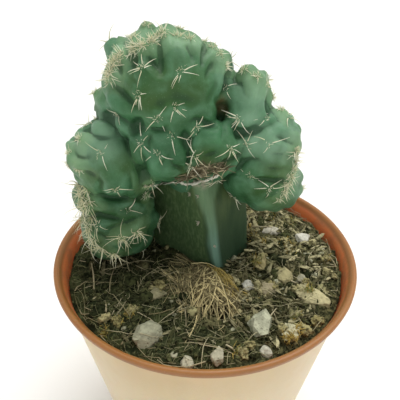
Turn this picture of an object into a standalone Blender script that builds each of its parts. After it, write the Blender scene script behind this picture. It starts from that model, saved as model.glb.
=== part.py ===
"""A chin cactus grafted on a three-angled stem, growing in a plastic nursery pot.

Units are metres and +Z is up. The origin is the centre of the pot's foot, on the surface it stands on,
and the side from which the plant is usually looked at faces -Y.
"""

import math
import random

import bmesh
import bpy
from mathutils import Matrix, Vector, noise
from mathutils.bvhtree import BVHTree

MM = 0.001
CLEARANCE = 0.35 * MM

# Pot: a thin moulded wall with a turned-out lip, a foot ring and drain holes
POT_HEIGHT = 90 * MM
POT_RIM_RADIUS = 52.5 * MM
POT_SHOULDER_RADIUS = 50.2 * MM
POT_FOOT_RADIUS = 36.5 * MM
POT_WALL = 1.1 * MM
POT_LIP_HEIGHT = 3.4 * MM
POT_LIP_WALL = 1.6 * MM
POT_FOOT_STEP = 2 * MM
POT_FLOOR_TOP = 3.6 * MM
POT_SIDES = 60
DRAIN_HOLES = 6
DRAIN_RADIUS = 3.2 * MM
DRAIN_CIRCLE = 23 * MM

# Potting mix: its top is a little below the lip, domed, and a touch higher to the right
SOIL_LEVEL = 84.2 * MM
SOIL_DOME = 1.3 * MM
SOIL_HEAP = 0.6 * MM
SOIL_LUMPS = 1.5 * MM
SOIL_EDGE_DROP = 0.9 * MM
SOIL_RINGS = 13
SOIL_SIDES = 48

# Three-angled stem that carries the graft: corners of its section at soil level and at its cut top
STOCK_BURIED = 28 * MM
STOCK_TOP = 120.5 * MM
STOCK_CORNERS_LOW = (Vector((4.8, -9.7)) * MM, Vector((18, 7)) * MM, Vector((-21.5, 10)) * MM)
STOCK_CORNERS_TOP = (Vector((-1.2, -8.2)) * MM, Vector((15, 6)) * MM, Vector((-22.5, 9)) * MM)
STOCK_CORNER_ROUND = 0.12
STOCK_WAIST = 0.15
STOCK_BEVELS = (1.5 * MM, 7 * MM, 8 * MM)
STOCK_SECTION_POINTS = 30
STOCK_STATIONS = 8

# Head: lobes of one grown-together crested plant. Each lobe is a thick fan whose ribs spread from its
# inner end: centre, the way it grows, the way its broad side faces, half length, half breadth and
# half thickness, ribs, rows of chins
FRONT, BACK = (0, -1, 0.25), (0, 1, 0.2)
HEAD_LOBES = {
    "core": ((-6.5, 6, 129), (0, 0, 1), FRONT, (15, 15.5, 14), 3, 1),
    "crown": ((-12, 0, 147), (-0.2, 0.1, 0.95), FRONT, (17.5, 17, 13), 7, 3),
    "crown_side": ((-3, 3, 148), (0.5, 0, 0.85), (0.4, -0.9, 0.1), (12.5, 10, 9.5), 5, 2),
    "crown_knob": ((-16.8, 4, 161.3), (0.1, 0.1, 1), FRONT, (4.2, 3, 3.6), 3, 1),
    "crown_shoulder": ((-24.5, 5, 156.6), (-0.7, 0.1, 0.7), FRONT, (4.6, 4.2, 5), 3, 1),
    "saddle": ((-24.2, 6, 139.5), (-0.75, 0.1, 0.6), FRONT, (10.5, 9, 9.5), 5, 2),
    "left": ((-28, 0, 125.3), (-1, 0, 0.1), FRONT, (15.5, 12.5, 12), 7, 3),
    "left_mid": ((-32, 0, 112.5), (-1, 0, -0.2), (0.1, -1, 0.2), (11.5, 8.5, 11), 5, 3),
    "left_low": ((-29.5, -1, 102), (-0.4, 0, -0.9), (0.15, -1, 0.1), (15.5, 12, 12), 6, 3),
    "middle_left": ((-12, -5, 132.5), (-0.3, -0.2, 1), FRONT, (12, 10.5, 9), 5, 3),
    "middle_right": ((1, -5, 131.5), (0.35, -0.2, 1), FRONT, (10, 9.5, 9), 5, 3),
    "right_high": ((11.3, 2, 142), (0.25, 0, 0.95), FRONT, (12, 7, 9), 5, 3),
    "right": ((16.5, 0, 130.5), (1, 0, 0.2), FRONT, (12.5, 12, 10.5), 6, 3),
    "right_low": ((18, 0, 120), (0.8, -0.1, -0.55), FRONT, (14, 11, 10.5), 6, 3),
    "back_high": ((-4, 17, 137), (0.1, 0.5, 0.85), BACK, (16, 16, 12), 7, 3),
    "back_left": ((-22, 17, 121), (-0.8, 0.5, 0), BACK, (15.5, 15, 12), 6, 3),
    "back_right": ((11, 17, 123), (0.8, 0.5, 0.1), BACK, (15, 14, 12), 6, 3),
    "back_low": ((-5, 20, 117), (0, 0.7, -0.5), BACK, (14, 13, 11), 6, 3),
}
HUB = 0.85
RIB_DEPTH = 0.28
CHIN_DEPTH = 0.22
RIM_KNOBS = 0.13
LOBE_GRAIN = 5
HEAD_VOXEL = 0.9 * MM
HEAD_TRIANGLES = 5120
SEED = 11

# Spines: a few from every areole, true in length and thickness
SPINES_PER_AREOLE = 4
SPINE_LENGTH = 6.4 * MM
SPINE_RADIUS = 0.3 * MM
SPINE_LIFT = 0.75
SPINE_SEAT = 0.9 * MM
AREOLE_RADIUS = 0.8 * MM
AREOLE_REACH = 2 * MM
AREOLE_SPACING = 5.2 * MM

# Mat of dry roots that lies from the stem's foot towards the pot's rim: turned in degrees
TUFT_CENTRE = (1.9 * MM, -17.4 * MM)
TUFT_RADII = (8 * MM, 14 * MM, 4.6 * MM)
TUFT_TURN = 27
TUFT_FIBRES = 20
FIBRE_RADIUS = 0.45 * MM

# Pumice and gravel that lie in the mix: place, width, depth and height, turn in degrees
STONES = {
    "stone_front_left": ((-17.1, -35.8), (8.6, 8.4, 7.4), 20),
    "stone_front_right": ((17, -32), (9.2, 8, 7), 65),
    "stone_right_tan": ((27.1, -10.7), (6.6, 6, 5.4), 10),
    "stone_right_round": ((20.8, -17), (6.4, 5.8, 5), 40),
    "stone_by_stem": ((19.8, -4.8), (6.6, 5.4, 5), 75),
    "stone_bark_flake": ((35.5, -19.3), (12.2, 6.2, 4.2), -35),
    "stone_right_grey": ((33, -11.3), (4.6, 4, 3.8), 30),
    "stone_far_right_white": ((37.4, 10.4), (6, 5, 5.2), 25),
    "stone_far_right_flat": ((25.7, 15.7), (8.2, 5.2, 4.2), 5),
    "stone_front_edge": ((4, -43.6), (4, 5, 4.2), 15),
    "stone_front_edge_left": ((-4.6, -44.4), (4, 3.8, 3.4), 60),
    "stone_front_low": ((18, -41), (3.4, 3.8, 3.4), 35),
    "stone_small_white": ((14.4, -16), (3.6, 3.8, 4.4), 20),
    "stone_perlite": ((26, -34.6), (6.6, 5.8, 4.2), 50),
    "stone_left_tan": ((-15.8, -18.5), (6, 5.2, 4.4), 45),
    "stone_back_left": ((-31, 22), (7.6, 6, 5.4), 70),
    "stone_back": ((4, 39), (6.4, 5.2, 4.8), 20),
}
STONE_ROUGHNESS = 0.26
STONE_SUNK = 0.35


def clear_scene():
    for thing in list(bpy.data.objects):
        bpy.data.objects.remove(thing, do_unlink=True)


def material(name, colour, roughness):
    made = bpy.data.materials.new(name)
    made.use_nodes = True
    shader = made.node_tree.nodes["Principled BSDF"]
    shader.inputs["Base Color"].default_value = (*colour, 1)
    shader.inputs["Roughness"].default_value = roughness
    shader.inputs["Metallic"].default_value = 0
    return made


def object_from(bm, name, finish=None):
    mesh = bpy.data.meshes.new(name)
    bm.normal_update()
    bm.to_mesh(mesh)
    bm.free()
    made = bpy.data.objects.new(name, mesh)
    bpy.context.scene.collection.objects.link(made)
    if finish:
        mesh.materials.append(finish)
    return made


def applied(thing, name=None):
    """Bakes the modifiers of an object into its mesh."""
    bpy.context.view_layer.update()
    graph = bpy.context.evaluated_depsgraph_get()
    mesh = bpy.data.meshes.new_from_object(thing.evaluated_get(graph))
    thing.modifiers.clear()
    thing.data = mesh
    if name:
        thing.name = name
    return thing


def keep_largest_piece(thing):
    """Drops the small closed shells that a voxel remesh leaves inside a body."""
    bm = bmesh.new()
    bm.from_mesh(thing.data)
    left = set(bm.verts)
    pieces = []
    while left:
        piece, edge_of = set(), [left.pop()]
        while edge_of:
            vert = edge_of.pop()
            piece.add(vert)
            for link in vert.link_edges:
                other = link.other_vert(vert)
                if other in left:
                    left.remove(other)
                    edge_of.append(other)
        pieces.append(piece)
    pieces.sort(key=len)
    for piece in pieces[:-1]:
        bmesh.ops.delete(bm, geom=list(piece), context="VERTS")
    bm.to_mesh(thing.data)
    bm.free()


def boolean(thing, others, operation, solver="EXACT"):
    """Joins or cuts an object with several others at once, and removes those."""
    group = bpy.data.collections.new("tools")
    bpy.context.scene.collection.children.link(group)
    for other in others:
        for home in list(other.users_collection):
            home.objects.unlink(other)
        group.objects.link(other)
    step = thing.modifiers.new(operation.lower(), "BOOLEAN")
    step.operand_type = "COLLECTION"
    step.collection = group
    step.operation = operation
    step.solver = solver
    applied(thing)
    for other in others:
        bpy.data.objects.remove(other, do_unlink=True)
    bpy.data.collections.remove(group)
    return thing


def smooth_shaded(thing, angle=40):
    thing.data.shade_smooth()
    thing.data.set_sharp_from_angle(angle=math.radians(angle))


def pot_inner_radius(z):
    share = (z - POT_FOOT_STEP) / (POT_HEIGHT - POT_LIP_HEIGHT - POT_FOOT_STEP)
    return POT_FOOT_RADIUS + (POT_SHOULDER_RADIUS - POT_FOOT_RADIUS) * share - POT_WALL


def make_pot(finish):
    shoulder = POT_HEIGHT - POT_LIP_HEIGHT
    lip_inside = POT_RIM_RADIUS - POT_LIP_WALL
    profile = (
        (0, POT_FLOOR_TOP),
        (pot_inner_radius(POT_FLOOR_TOP), POT_FLOOR_TOP),
        (pot_inner_radius(shoulder), shoulder),
        (lip_inside - 0.7 * MM, POT_HEIGHT - 1.2 * MM),
        (lip_inside, POT_HEIGHT - 0.2 * MM),
        (lip_inside + 0.5 * MM, POT_HEIGHT),
        (POT_RIM_RADIUS - 0.4 * MM, POT_HEIGHT - 0.1 * MM),
        (POT_RIM_RADIUS, POT_HEIGHT - 0.6 * MM),
        (POT_RIM_RADIUS - 0.7 * MM, shoulder),
        (POT_SHOULDER_RADIUS, shoulder),
        (POT_FOOT_RADIUS, 0),
        (POT_FOOT_RADIUS - 1.6 * MM, 0),
        (POT_FOOT_RADIUS - 2.2 * MM, POT_FOOT_STEP),
        (0, POT_FOOT_STEP),
    )
    bm = bmesh.new()
    line = [bm.verts.new((radius, 0, z)) for radius, z in profile]
    edges = [bm.edges.new(pair) for pair in zip(line, line[1:])]
    bmesh.ops.spin(
        bm,
        geom=line + edges,
        axis=(0, 0, 1),
        angle=math.tau,
        steps=POT_SIDES,
        use_merge=True,
    )
    bmesh.ops.remove_doubles(bm, verts=bm.verts, dist=1e-6)
    bmesh.ops.recalc_face_normals(bm, faces=bm.faces)
    pot = object_from(bm, "pot", finish)
    cutters = []
    for k in range(DRAIN_HOLES):
        angle = math.tau * k / DRAIN_HOLES
        bm = bmesh.new()
        bmesh.ops.create_cone(
            bm,
            cap_ends=True,
            segments=14,
            radius1=DRAIN_RADIUS,
            radius2=DRAIN_RADIUS,
            depth=3 * POT_FLOOR_TOP,
            matrix=Matrix.Translation(
                (DRAIN_CIRCLE * math.cos(angle), DRAIN_CIRCLE * math.sin(angle), POT_FLOOR_TOP)
            ),
        )
        cutters.append(object_from(bm, "drain_cutter"))
    boolean(pot, cutters, "DIFFERENCE")
    smooth_shaded(pot)
    return pot


def soil_height(x, y):
    """Top of the mix: a flat dome, a touch higher to the right, with crumb-like lumps."""
    radius = math.hypot(x, y)
    edge = pot_inner_radius(SOIL_LEVEL)
    heap = SOIL_HEAP * (x - 0.3 * y) / edge + SOIL_DOME * (1 - (radius / edge) ** 2)
    lumps = SOIL_LUMPS * noise.noise(Vector((x, y, 0)) / (9 * MM))
    lumps += 0.5 * SOIL_LUMPS * noise.noise(Vector((x, y, 20 * MM)) / (4.5 * MM))
    return SOIL_LEVEL + heap + lumps - SOIL_EDGE_DROP * (radius / edge) ** 6


def make_soil(finish):
    edge = pot_inner_radius(SOIL_LEVEL) - CLEARANCE
    floor_z = POT_FLOOR_TOP + CLEARANCE
    bm = bmesh.new()
    centre = bm.verts.new((0, 0, soil_height(0, 0)))
    rings = []
    for k in range(1, SOIL_RINGS + 1):
        radius = edge * k / SOIL_RINGS
        ring = []
        for j in range(SOIL_SIDES):
            angle = math.tau * (j + 0.5 * (k % 2)) / SOIL_SIDES
            x, y = radius * math.cos(angle), radius * math.sin(angle)
            z = soil_height(x, y)
            fit = min(1, (pot_inner_radius(z) - 1.4 * CLEARANCE) / radius)
            ring.append(bm.verts.new((x * fit, y * fit, z)))
        rings.append(ring)
    foot = []
    for top in rings[-1]:
        radius = pot_inner_radius(floor_z) - 1.4 * CLEARANCE
        way = Vector((top.co.x, top.co.y, 0)).normalized() * radius
        foot.append(bm.verts.new((way.x, way.y, floor_z)))
    for j in range(SOIL_SIDES):
        bm.faces.new((centre, rings[0][j], rings[0][(j + 1) % SOIL_SIDES]))
    for k, (inner, outer) in enumerate(zip(rings, rings[1:]), 1):
        ahead = k % 2
        for j in range(SOIL_SIDES):
            after = (j + 1) % SOIL_SIDES
            if ahead:
                bm.faces.new((inner[j], outer[j], outer[after]))
                bm.faces.new((inner[j], outer[after], inner[after]))
            else:
                bm.faces.new((inner[j], outer[j], inner[after]))
                bm.faces.new((inner[after], outer[j], outer[after]))
    for j in range(SOIL_SIDES):
        after = (j + 1) % SOIL_SIDES
        bm.faces.new((rings[-1][j], foot[j], foot[after], rings[-1][after]))
    bm.faces.new(list(reversed(foot)))
    bmesh.ops.recalc_face_normals(bm, faces=bm.faces)
    return object_from(bm, "soil", finish)


def stock_section(z):
    """Outline of the stem at a height: a triangle with round ribs and slightly hollow sides."""
    share = (z - SOIL_LEVEL) / (STOCK_TOP - SOIL_LEVEL)
    blend = min(max(share, 0), 1)
    corners = [low.lerp(top, blend) for low, top in zip(STOCK_CORNERS_LOW, STOCK_CORNERS_TOP)]
    centre = sum(corners, Vector((0, 0))) / 3
    narrowing = 1 - 0.35 * max(-share, 0)
    points = []
    for k in range(STOCK_SECTION_POINTS):
        place = 3 * k / STOCK_SECTION_POINTS
        side, along = int(place), place % 1
        start, end = corners[side], corners[(side + 1) % 3]
        point = start.lerp(end, along)
        near_corner = abs(2 * along - 1)
        pull = STOCK_CORNER_ROUND * near_corner**6 + STOCK_WAIST * (1 - near_corner**2)
        points.append(centre + (point - centre) * (1 - pull) * narrowing)
    return centre, points


def make_stock(name, finish=None, grow=0.0, bevelled=True):
    """The stem, lofted from its sections. Grown a little, it is the cutter for its own hole."""
    bottom = SOIL_LEVEL - STOCK_BURIED - grow
    top = STOCK_TOP + grow
    bm = bmesh.new()
    rings = []
    for k in range(STOCK_STATIONS + 1):
        z = bottom + (top - bottom) * k / STOCK_STATIONS
        centre, points = stock_section(z)
        ring = []
        for point in points:
            out = (point - centre).normalized() * grow
            ring.append(bm.verts.new((*(point + out), z)))
        rings.append(ring)
    for lower, upper in zip(rings, rings[1:]):
        for j in range(STOCK_SECTION_POINTS):
            after = (j + 1) % STOCK_SECTION_POINTS
            bm.faces.new((lower[j], lower[after], upper[after], upper[j]))
    bm.faces.new(list(reversed(rings[0])))
    bm.faces.new(rings[-1])
    if bevelled:
        cut_ribs_back(bm, top)
    bmesh.ops.recalc_face_normals(bm, faces=bm.faces)
    return object_from(bm, name, finish)


def cut_ribs_back(bm, top):
    """The grafter trims the three ribs at a slant below the flat top."""
    centre, points = stock_section(STOCK_TOP)
    for side, bevel in enumerate(STOCK_BEVELS):
        corner = points[side * STOCK_SECTION_POINTS // 3]
        out = (corner - centre).normalized()
        away = Vector((out.x, out.y, 1.0)).normalized()
        at = Vector((*(corner - out * bevel), top))
        geometry = bm.verts[:] + bm.edges[:] + bm.faces[:]
        cut = bmesh.ops.bisect_plane(
            bm, geom=geometry, plane_co=at, plane_no=away, clear_outer=True, dist=1e-6
        )
        rim = [part for part in cut["geom_cut"] if isinstance(part, bmesh.types.BMEdge)]
        bmesh.ops.edgeloop_fill(bm, edges=rim)


def lobe_relief(out, side, deep, ribs, rows, phase):
    """Ribs that spread from the lobe's inner end, notched into chins, and knobs on its rim."""
    angle = math.atan2(side, out + HUB)
    reach = HUB * math.cos(angle) + math.sqrt(max(0, 1 - (HUB * math.sin(angle)) ** 2))
    along = math.hypot(side, out + HUB) / reach
    place = angle * ribs / math.pi + 0.5
    face = 0.5 + 0.5 * math.tanh(5 * deep)
    if deep < 0:
        place += 0.5
    number = math.floor(place)
    rib = abs(math.sin(math.pi * place)) ** 0.7
    row = along * rows + 0.5 * (number % 2)
    chin = abs(math.sin(math.pi * (row + 0.1 * math.sin(math.tau * row)))) ** 0.6
    rim = math.exp(-((deep / 0.3) ** 2))
    knob = abs(math.sin(math.tau * place)) ** 0.7
    relief = (1 - rim) * (RIB_DEPTH * (rib - 0.7) + CHIN_DEPTH * rib * (chin - 0.75))
    relief += rim * RIM_KNOBS * (knob - 0.5)
    return relief + 0.05 * noise.noise(Vector((out, side, deep)) * 2 + Vector((phase, 0, 0)))


def lobe_frame(lobe):
    """Columns: the way the lobe grows, its breadth, and the way its broad side faces."""
    out = Vector(lobe[1]).normalized()
    side = Vector(lobe[2]).cross(out).normalized()
    return Matrix((out, side, out.cross(side))).transposed()


def lobe_point(lobe, unit, phase):
    centre, _, _, halves, ribs, rows = lobe
    swell = 1 + lobe_relief(*unit, ribs, rows, phase)
    local = Vector([part * half * swell for part, half in zip(unit, halves)])
    return (Vector(centre) + lobe_frame(lobe) @ local) * MM


def make_lobe(name, lobe, phase):
    bm = bmesh.new()
    bmesh.ops.create_icosphere(bm, subdivisions=LOBE_GRAIN, radius=1)
    for vert in bm.verts:
        vert.co = lobe_point(lobe, vert.co.normalized(), phase)
    return object_from(bm, name)


def areoles(body):
    """Spine cushions: one on each chin, where the lobe's own surface is the plant's surface."""
    found = []
    for phase, lobe in enumerate(HEAD_LOBES.values()):
        ribs, rows = lobe[4], lobe[5]
        for facing in (1, -1):
            for rib in range(-ribs, ribs + 1):
                angle = (rib + (0 if facing > 0 else 0.5)) * math.pi / ribs
                if abs(angle) > 1.5:
                    continue
                reach = HUB * math.cos(angle) + math.sqrt(1 - (HUB * math.sin(angle)) ** 2)
                for row in range(rows + 1):
                    along = (row + 0.5 * (rib % 2) + 0.65) / rows
                    if not 0.2 < along < 1.0:
                        continue
                    out = along * reach * math.cos(angle) - HUB
                    side = along * reach * math.sin(angle)
                    deep = facing * math.sqrt(max(0, 1 - out * out - side * side))
                    point = lobe_point(lobe, Vector((out, side, deep)), phase)
                    near, normal, _, gap = body.find_nearest(point)
                    if gap > AREOLE_REACH:
                        continue
                    if any((near - other).length < AREOLE_SPACING for other, _, _ in found):
                        continue
                    found.append((near, normal, lobe_frame(lobe).col[0]))
    return found


def make_needle(start, way, length, radius):
    """A three-sided needle whose root is sunk in what it grows from."""
    bm = bmesh.new()
    turn = way.to_track_quat("Z", "Y").to_matrix().to_4x4()
    bmesh.ops.create_cone(
        bm,
        cap_ends=True,
        segments=3,
        radius1=radius,
        radius2=0,
        depth=length + SPINE_SEAT,
        matrix=Matrix.Translation(start)
        @ turn
        @ Matrix.Translation((0, 0, (length - SPINE_SEAT) / 2)),
    )
    return object_from(bm, "needle")


def is_clear(point, blocked):
    """True where a spine's tip is clear of the stem, the mix, the dry roots and the pot's lip."""
    if point.z < soil_height(point.x, point.y) + 1.2 * MM:
        return False
    dx = (point.x - TUFT_CENTRE[0]) / (TUFT_RADII[0] + 3 * MM)
    dy = (point.y - TUFT_CENTRE[1]) / (TUFT_RADII[1] + 3 * MM)
    if dx * dx + dy * dy < 1 and point.z < SOIL_LEVEL + TUFT_RADII[2] + 3 * MM:
        return False
    return blocked.find_nearest(point)[3] > 0.9 * MM


def make_spines(body, blocked):
    draw = random.Random(SEED)
    needles = []
    for point, normal, tip in areoles(body):
        side = normal.cross(tip).normalized()
        along = side.cross(normal).normalized()
        spin = draw.uniform(0, math.tau)
        for k in range(SPINES_PER_AREOLE):
            angle = spin + math.tau * k / SPINES_PER_AREOLE + draw.uniform(-0.25, 0.25)
            flat = side * math.cos(angle) + along * math.sin(angle)
            way = (flat + normal * (SPINE_LIFT + draw.uniform(-0.1, 0.25))).normalized()
            length = SPINE_LENGTH * draw.uniform(0.65, 1.1)
            root, _, _, _ = body.find_nearest(point + flat * AREOLE_RADIUS)
            if all(is_clear(root + way * length * k / 8, blocked) for k in range(-1, 9)):
                needles.append(make_needle(root, way, length, SPINE_RADIUS))
    return needles


def make_head(finish):
    parts = [
        make_lobe(name, lobe, phase) for phase, (name, lobe) in enumerate(HEAD_LOBES.items())
    ]
    head = parts[0]
    joined = bmesh.new()
    for part in parts:
        joined.from_mesh(part.data)
    for part in parts[1:]:
        bpy.data.objects.remove(part, do_unlink=True)
    joined.to_mesh(head.data)
    joined.free()
    remesh = head.modifiers.new("grown_together", "REMESH")
    remesh.mode = "VOXEL"
    remesh.voxel_size = HEAD_VOXEL
    soften = head.modifiers.new("soften", "SMOOTH")
    soften.factor, soften.iterations = 0.4, 1
    applied(head, "cactus_head")
    keep_largest_piece(head)
    thin = head.modifiers.new("fewer_faces", "DECIMATE")
    thin.ratio = HEAD_TRIANGLES / (2 * len(head.data.polygons))
    thin.use_collapse_triangulate = True
    applied(head)
    boolean(head, [make_stock("stem_cutter", grow=CLEARANCE)], "DIFFERENCE")
    keep_largest_piece(head)
    body = BVHTree.FromObject(head, bpy.context.evaluated_depsgraph_get())
    stem = make_stock("stem_guide")
    blocked = BVHTree.FromObject(stem, bpy.context.evaluated_depsgraph_get())
    needles = make_spines(body, blocked)
    bpy.data.objects.remove(stem, do_unlink=True)
    boolean(head, needles, "UNION", "MANIFOLD")
    keep_largest_piece(head)
    head.data.materials.clear()
    head.data.materials.append(finish)
    smooth_shaded(head)
    return head


def make_stone(name, place, size, turn, finish=None, grow=0.0):
    """An angular pebble, partly sunk in the mix."""
    x, y = (value * MM for value in place)
    half = [value * MM / 2 + grow for value in size]
    z = soil_height(x, y) + half[2] * (1 - 2 * STONE_SUNK)
    bm = bmesh.new()
    bmesh.ops.create_icosphere(bm, subdivisions=1, radius=1)
    for vert in bm.verts:
        rough = STONE_ROUGHNESS * noise.noise(vert.co * 1.7 + Vector((x, y, 0)) / MM)
        vert.co *= 1 + rough
    bmesh.ops.scale(bm, vec=half, verts=bm.verts)
    bmesh.ops.rotate(
        bm, matrix=Matrix.Rotation(math.radians(turn), 3, "Z"), verts=bm.verts
    )
    bmesh.ops.translate(bm, vec=(x, y, z), verts=bm.verts)
    return object_from(bm, name, finish)


def make_tuft_core(name, finish=None, grow=0.0):
    x, y = TUFT_CENTRE
    bm = bmesh.new()
    bmesh.ops.create_icosphere(bm, subdivisions=2, radius=1)
    bmesh.ops.scale(bm, vec=[radius + grow for radius in TUFT_RADII], verts=bm.verts)
    bmesh.ops.rotate(
        bm, matrix=Matrix.Rotation(math.radians(TUFT_TURN), 3, "Z"), verts=bm.verts
    )
    bmesh.ops.translate(bm, vec=(x, y, soil_height(x, y)), verts=bm.verts)
    return object_from(bm, name, finish)


def make_fibre(points, radius):
    """A dry root: a three-sided tube along a few points, thinner at its free end."""
    bm = bmesh.new()
    rings = []
    for k, point in enumerate(points):
        ahead = points[min(k + 1, len(points) - 1)] - points[max(k - 1, 0)]
        turn = ahead.normalized().to_track_quat("Z", "Y").to_matrix()
        here = radius * (1 - 0.6 * k / (len(points) - 1))
        ring = []
        for j in range(3):
            angle = math.tau * j / 3
            ring.append(
                bm.verts.new(point + turn @ Vector((math.cos(angle), math.sin(angle), 0)) * here)
            )
        rings.append(ring)
    for lower, upper in zip(rings, rings[1:]):
        for j in range(3):
            after = (j + 1) % 3
            bm.faces.new((lower[j], lower[after], upper[after], upper[j]))
    bm.faces.new(list(reversed(rings[0])))
    bm.faces.new(rings[-1])
    return object_from(bm, "fibre")


def make_tuft(finish):
    """Dry roots that hang over a low mound, from the stem's foot towards the pot's rim."""
    draw = random.Random(SEED)
    tuft = make_tuft_core("root_tuft", finish)
    cx, cy = TUFT_CENTRE
    cz = soil_height(cx, cy)
    turn = Matrix.Rotation(math.radians(TUFT_TURN), 2)
    fibres = []
    for _ in range(TUFT_FIBRES):
        across = draw.uniform(-0.9, 0.9)
        drift = draw.uniform(-0.35, 0.35)
        lift = draw.uniform(0.99, 1.06)
        points = []
        for k in range(5):
            along = 0.75 - 0.4 * k + draw.uniform(-0.08, 0.08)
            sx = across + drift * k / 4
            sy = along * math.sqrt(max(0.1, 1 - min(sx * sx, 0.9)))
            up = math.sqrt(max(0.02, 1 - min(sx * sx + sy * sy, 0.98)))
            x, y = turn @ Vector((TUFT_RADII[0] * sx, TUFT_RADII[1] * sy)) * lift
            x, y = cx + x, cy + y
            z = max(cz + TUFT_RADII[2] * up * lift, soil_height(x, y) + 1.3 * MM)
            points.append(Vector((x, y, z)))
        fibres.append(make_fibre(points, FIBRE_RADIUS * draw.uniform(0.8, 1.2)))
    boolean(tuft, fibres, "UNION", "MANIFOLD")
    boolean(tuft, [make_stock("stem_cutter", grow=CLEARANCE)], "DIFFERENCE", "MANIFOLD")
    keep_largest_piece(tuft)
    return tuft


def main():
    clear_scene()
    make_pot(material("pot_plastic", (0.66, 0.27, 0.1), 0.45))
    soil = make_soil(material("potting_mix", (0.06, 0.045, 0.03), 0.95))
    stem_green = material("stem_green", (0.06, 0.13, 0.07), 0.5)
    stock = make_stock("rootstock", stem_green)
    smooth_shaded(stock, 35)
    cutters = [
        make_stock("stem_cutter", grow=CLEARANCE),
        make_tuft_core("tuft_cutter", grow=CLEARANCE),
    ]
    grey = material("pumice", (0.42, 0.38, 0.3), 0.9)
    for name, (place, size, turn) in STONES.items():
        make_stone(name, place, size, turn, grey)
        cutters.append(make_stone("stone_cutter", place, size, turn, grow=CLEARANCE))
    boolean(soil, cutters, "DIFFERENCE")
    make_tuft(material("dry_root", (0.34, 0.24, 0.14), 0.9))
    make_head(material("head_green", (0.09, 0.24, 0.13), 0.45))


main()
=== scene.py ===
"""A crested chin cactus on its three-angled stem, in a plastic nursery pot with stony mix."""

import math
import random

import bmesh
import bpy
import numpy as np
from mathutils import Matrix, Vector, noise
from mathutils.bvhtree import BVHTree


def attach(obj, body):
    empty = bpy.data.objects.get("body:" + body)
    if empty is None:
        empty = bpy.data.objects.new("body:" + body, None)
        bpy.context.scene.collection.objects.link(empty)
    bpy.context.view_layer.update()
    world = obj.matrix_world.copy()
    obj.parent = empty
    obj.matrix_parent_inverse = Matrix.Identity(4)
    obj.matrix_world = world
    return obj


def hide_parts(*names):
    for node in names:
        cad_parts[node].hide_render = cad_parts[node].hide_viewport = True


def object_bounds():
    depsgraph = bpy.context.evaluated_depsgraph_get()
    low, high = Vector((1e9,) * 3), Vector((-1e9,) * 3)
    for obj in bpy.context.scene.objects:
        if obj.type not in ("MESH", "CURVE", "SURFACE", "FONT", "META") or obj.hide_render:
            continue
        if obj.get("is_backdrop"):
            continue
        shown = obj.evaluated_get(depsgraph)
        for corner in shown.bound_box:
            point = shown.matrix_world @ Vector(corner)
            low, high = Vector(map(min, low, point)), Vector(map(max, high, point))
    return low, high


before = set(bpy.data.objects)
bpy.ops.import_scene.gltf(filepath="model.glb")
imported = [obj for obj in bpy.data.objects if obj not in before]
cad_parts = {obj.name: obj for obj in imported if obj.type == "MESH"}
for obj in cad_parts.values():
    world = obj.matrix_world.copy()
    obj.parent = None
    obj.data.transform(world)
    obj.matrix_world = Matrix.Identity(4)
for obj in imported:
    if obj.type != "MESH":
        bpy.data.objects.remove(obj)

cad_low, cad_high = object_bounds()


# ---------------------------------------------------------------------------------------------
# Camera: it looks down on the pot from the front, at the photograph's angle. It comes first,
# because areoles, furrows, shreds, clods and roots are placed along rays from it.
# ---------------------------------------------------------------------------------------------
MM = 0.001
PHOTO_SIZE, SENSOR, LENS = 400, 36, 40.5
PHOTO_MIDDLE, FOCAL = PHOTO_SIZE / 2, PHOTO_SIZE * LENS / SENSOR
CAMERA_PLACE, CAMERA_TURN = (0, -0.125975, 0.192013), (56.923, -0.205, 0.964)


def put_in_scene(name, data):
    made = bpy.data.objects.new(name, data)
    bpy.context.scene.collection.objects.link(made)
    return made


lens = bpy.data.cameras.new("camera")
lens.sensor_width, lens.lens, lens.clip_start = SENSOR, LENS, 0.01
camera = put_in_scene("camera", lens)
bpy.context.scene.camera = camera
camera.location = CAMERA_PLACE
camera.rotation_euler = [math.radians(angle) for angle in CAMERA_TURN]
camera_turn = camera.rotation_euler.to_matrix()


def photo_ray(x, y):
    """The way the camera looks through a point of the photograph, in pixels from its top left."""
    right, up = (x - PHOTO_MIDDLE) / FOCAL, (PHOTO_MIDDLE - y) / FOCAL
    return (camera_turn @ Vector((right, up, -1))).normalized()


# ---------------------------------------------------------------------------------------------
# Pot: a thin tapered nursery pot of soft terracotta plastic, blow-moulded with a turned-out lip,
# a foot ring and six drain holes. The wall lets light through; the lip is a deeper orange.
# ---------------------------------------------------------------------------------------------
class Value:
    """The output of a shader node. Arithmetic on it adds Math nodes."""

    def __init__(self, coat, socket):
        self.coat, self.socket = coat, socket

    def maths(self, operation, first, second):
        return self.coat.node("ShaderNodeMath", {"operation": operation}, {0: first, 1: second})

    def __add__(self, other):
        return self.maths("ADD", self, other)

    def __radd__(self, other):
        return self.maths("ADD", other, self)

    def __sub__(self, other):
        return self.maths("SUBTRACT", self, other)

    def __rsub__(self, other):
        return self.maths("SUBTRACT", other, self)

    def __mul__(self, other):
        return self.maths("MULTIPLY", self, other)

    def __rmul__(self, other):
        return self.maths("MULTIPLY", other, self)

    def __pow__(self, other):
        return self.maths("POWER", self, other)

    def between(self, low, high):
        """0 up to low, 1 from high on, and smooth in between."""
        return self.coat.node(
            "ShaderNodeMapRange", {"interpolation_type": "SMOOTHSTEP"}, {0: self, 1: low, 2: high}
        )


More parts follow.
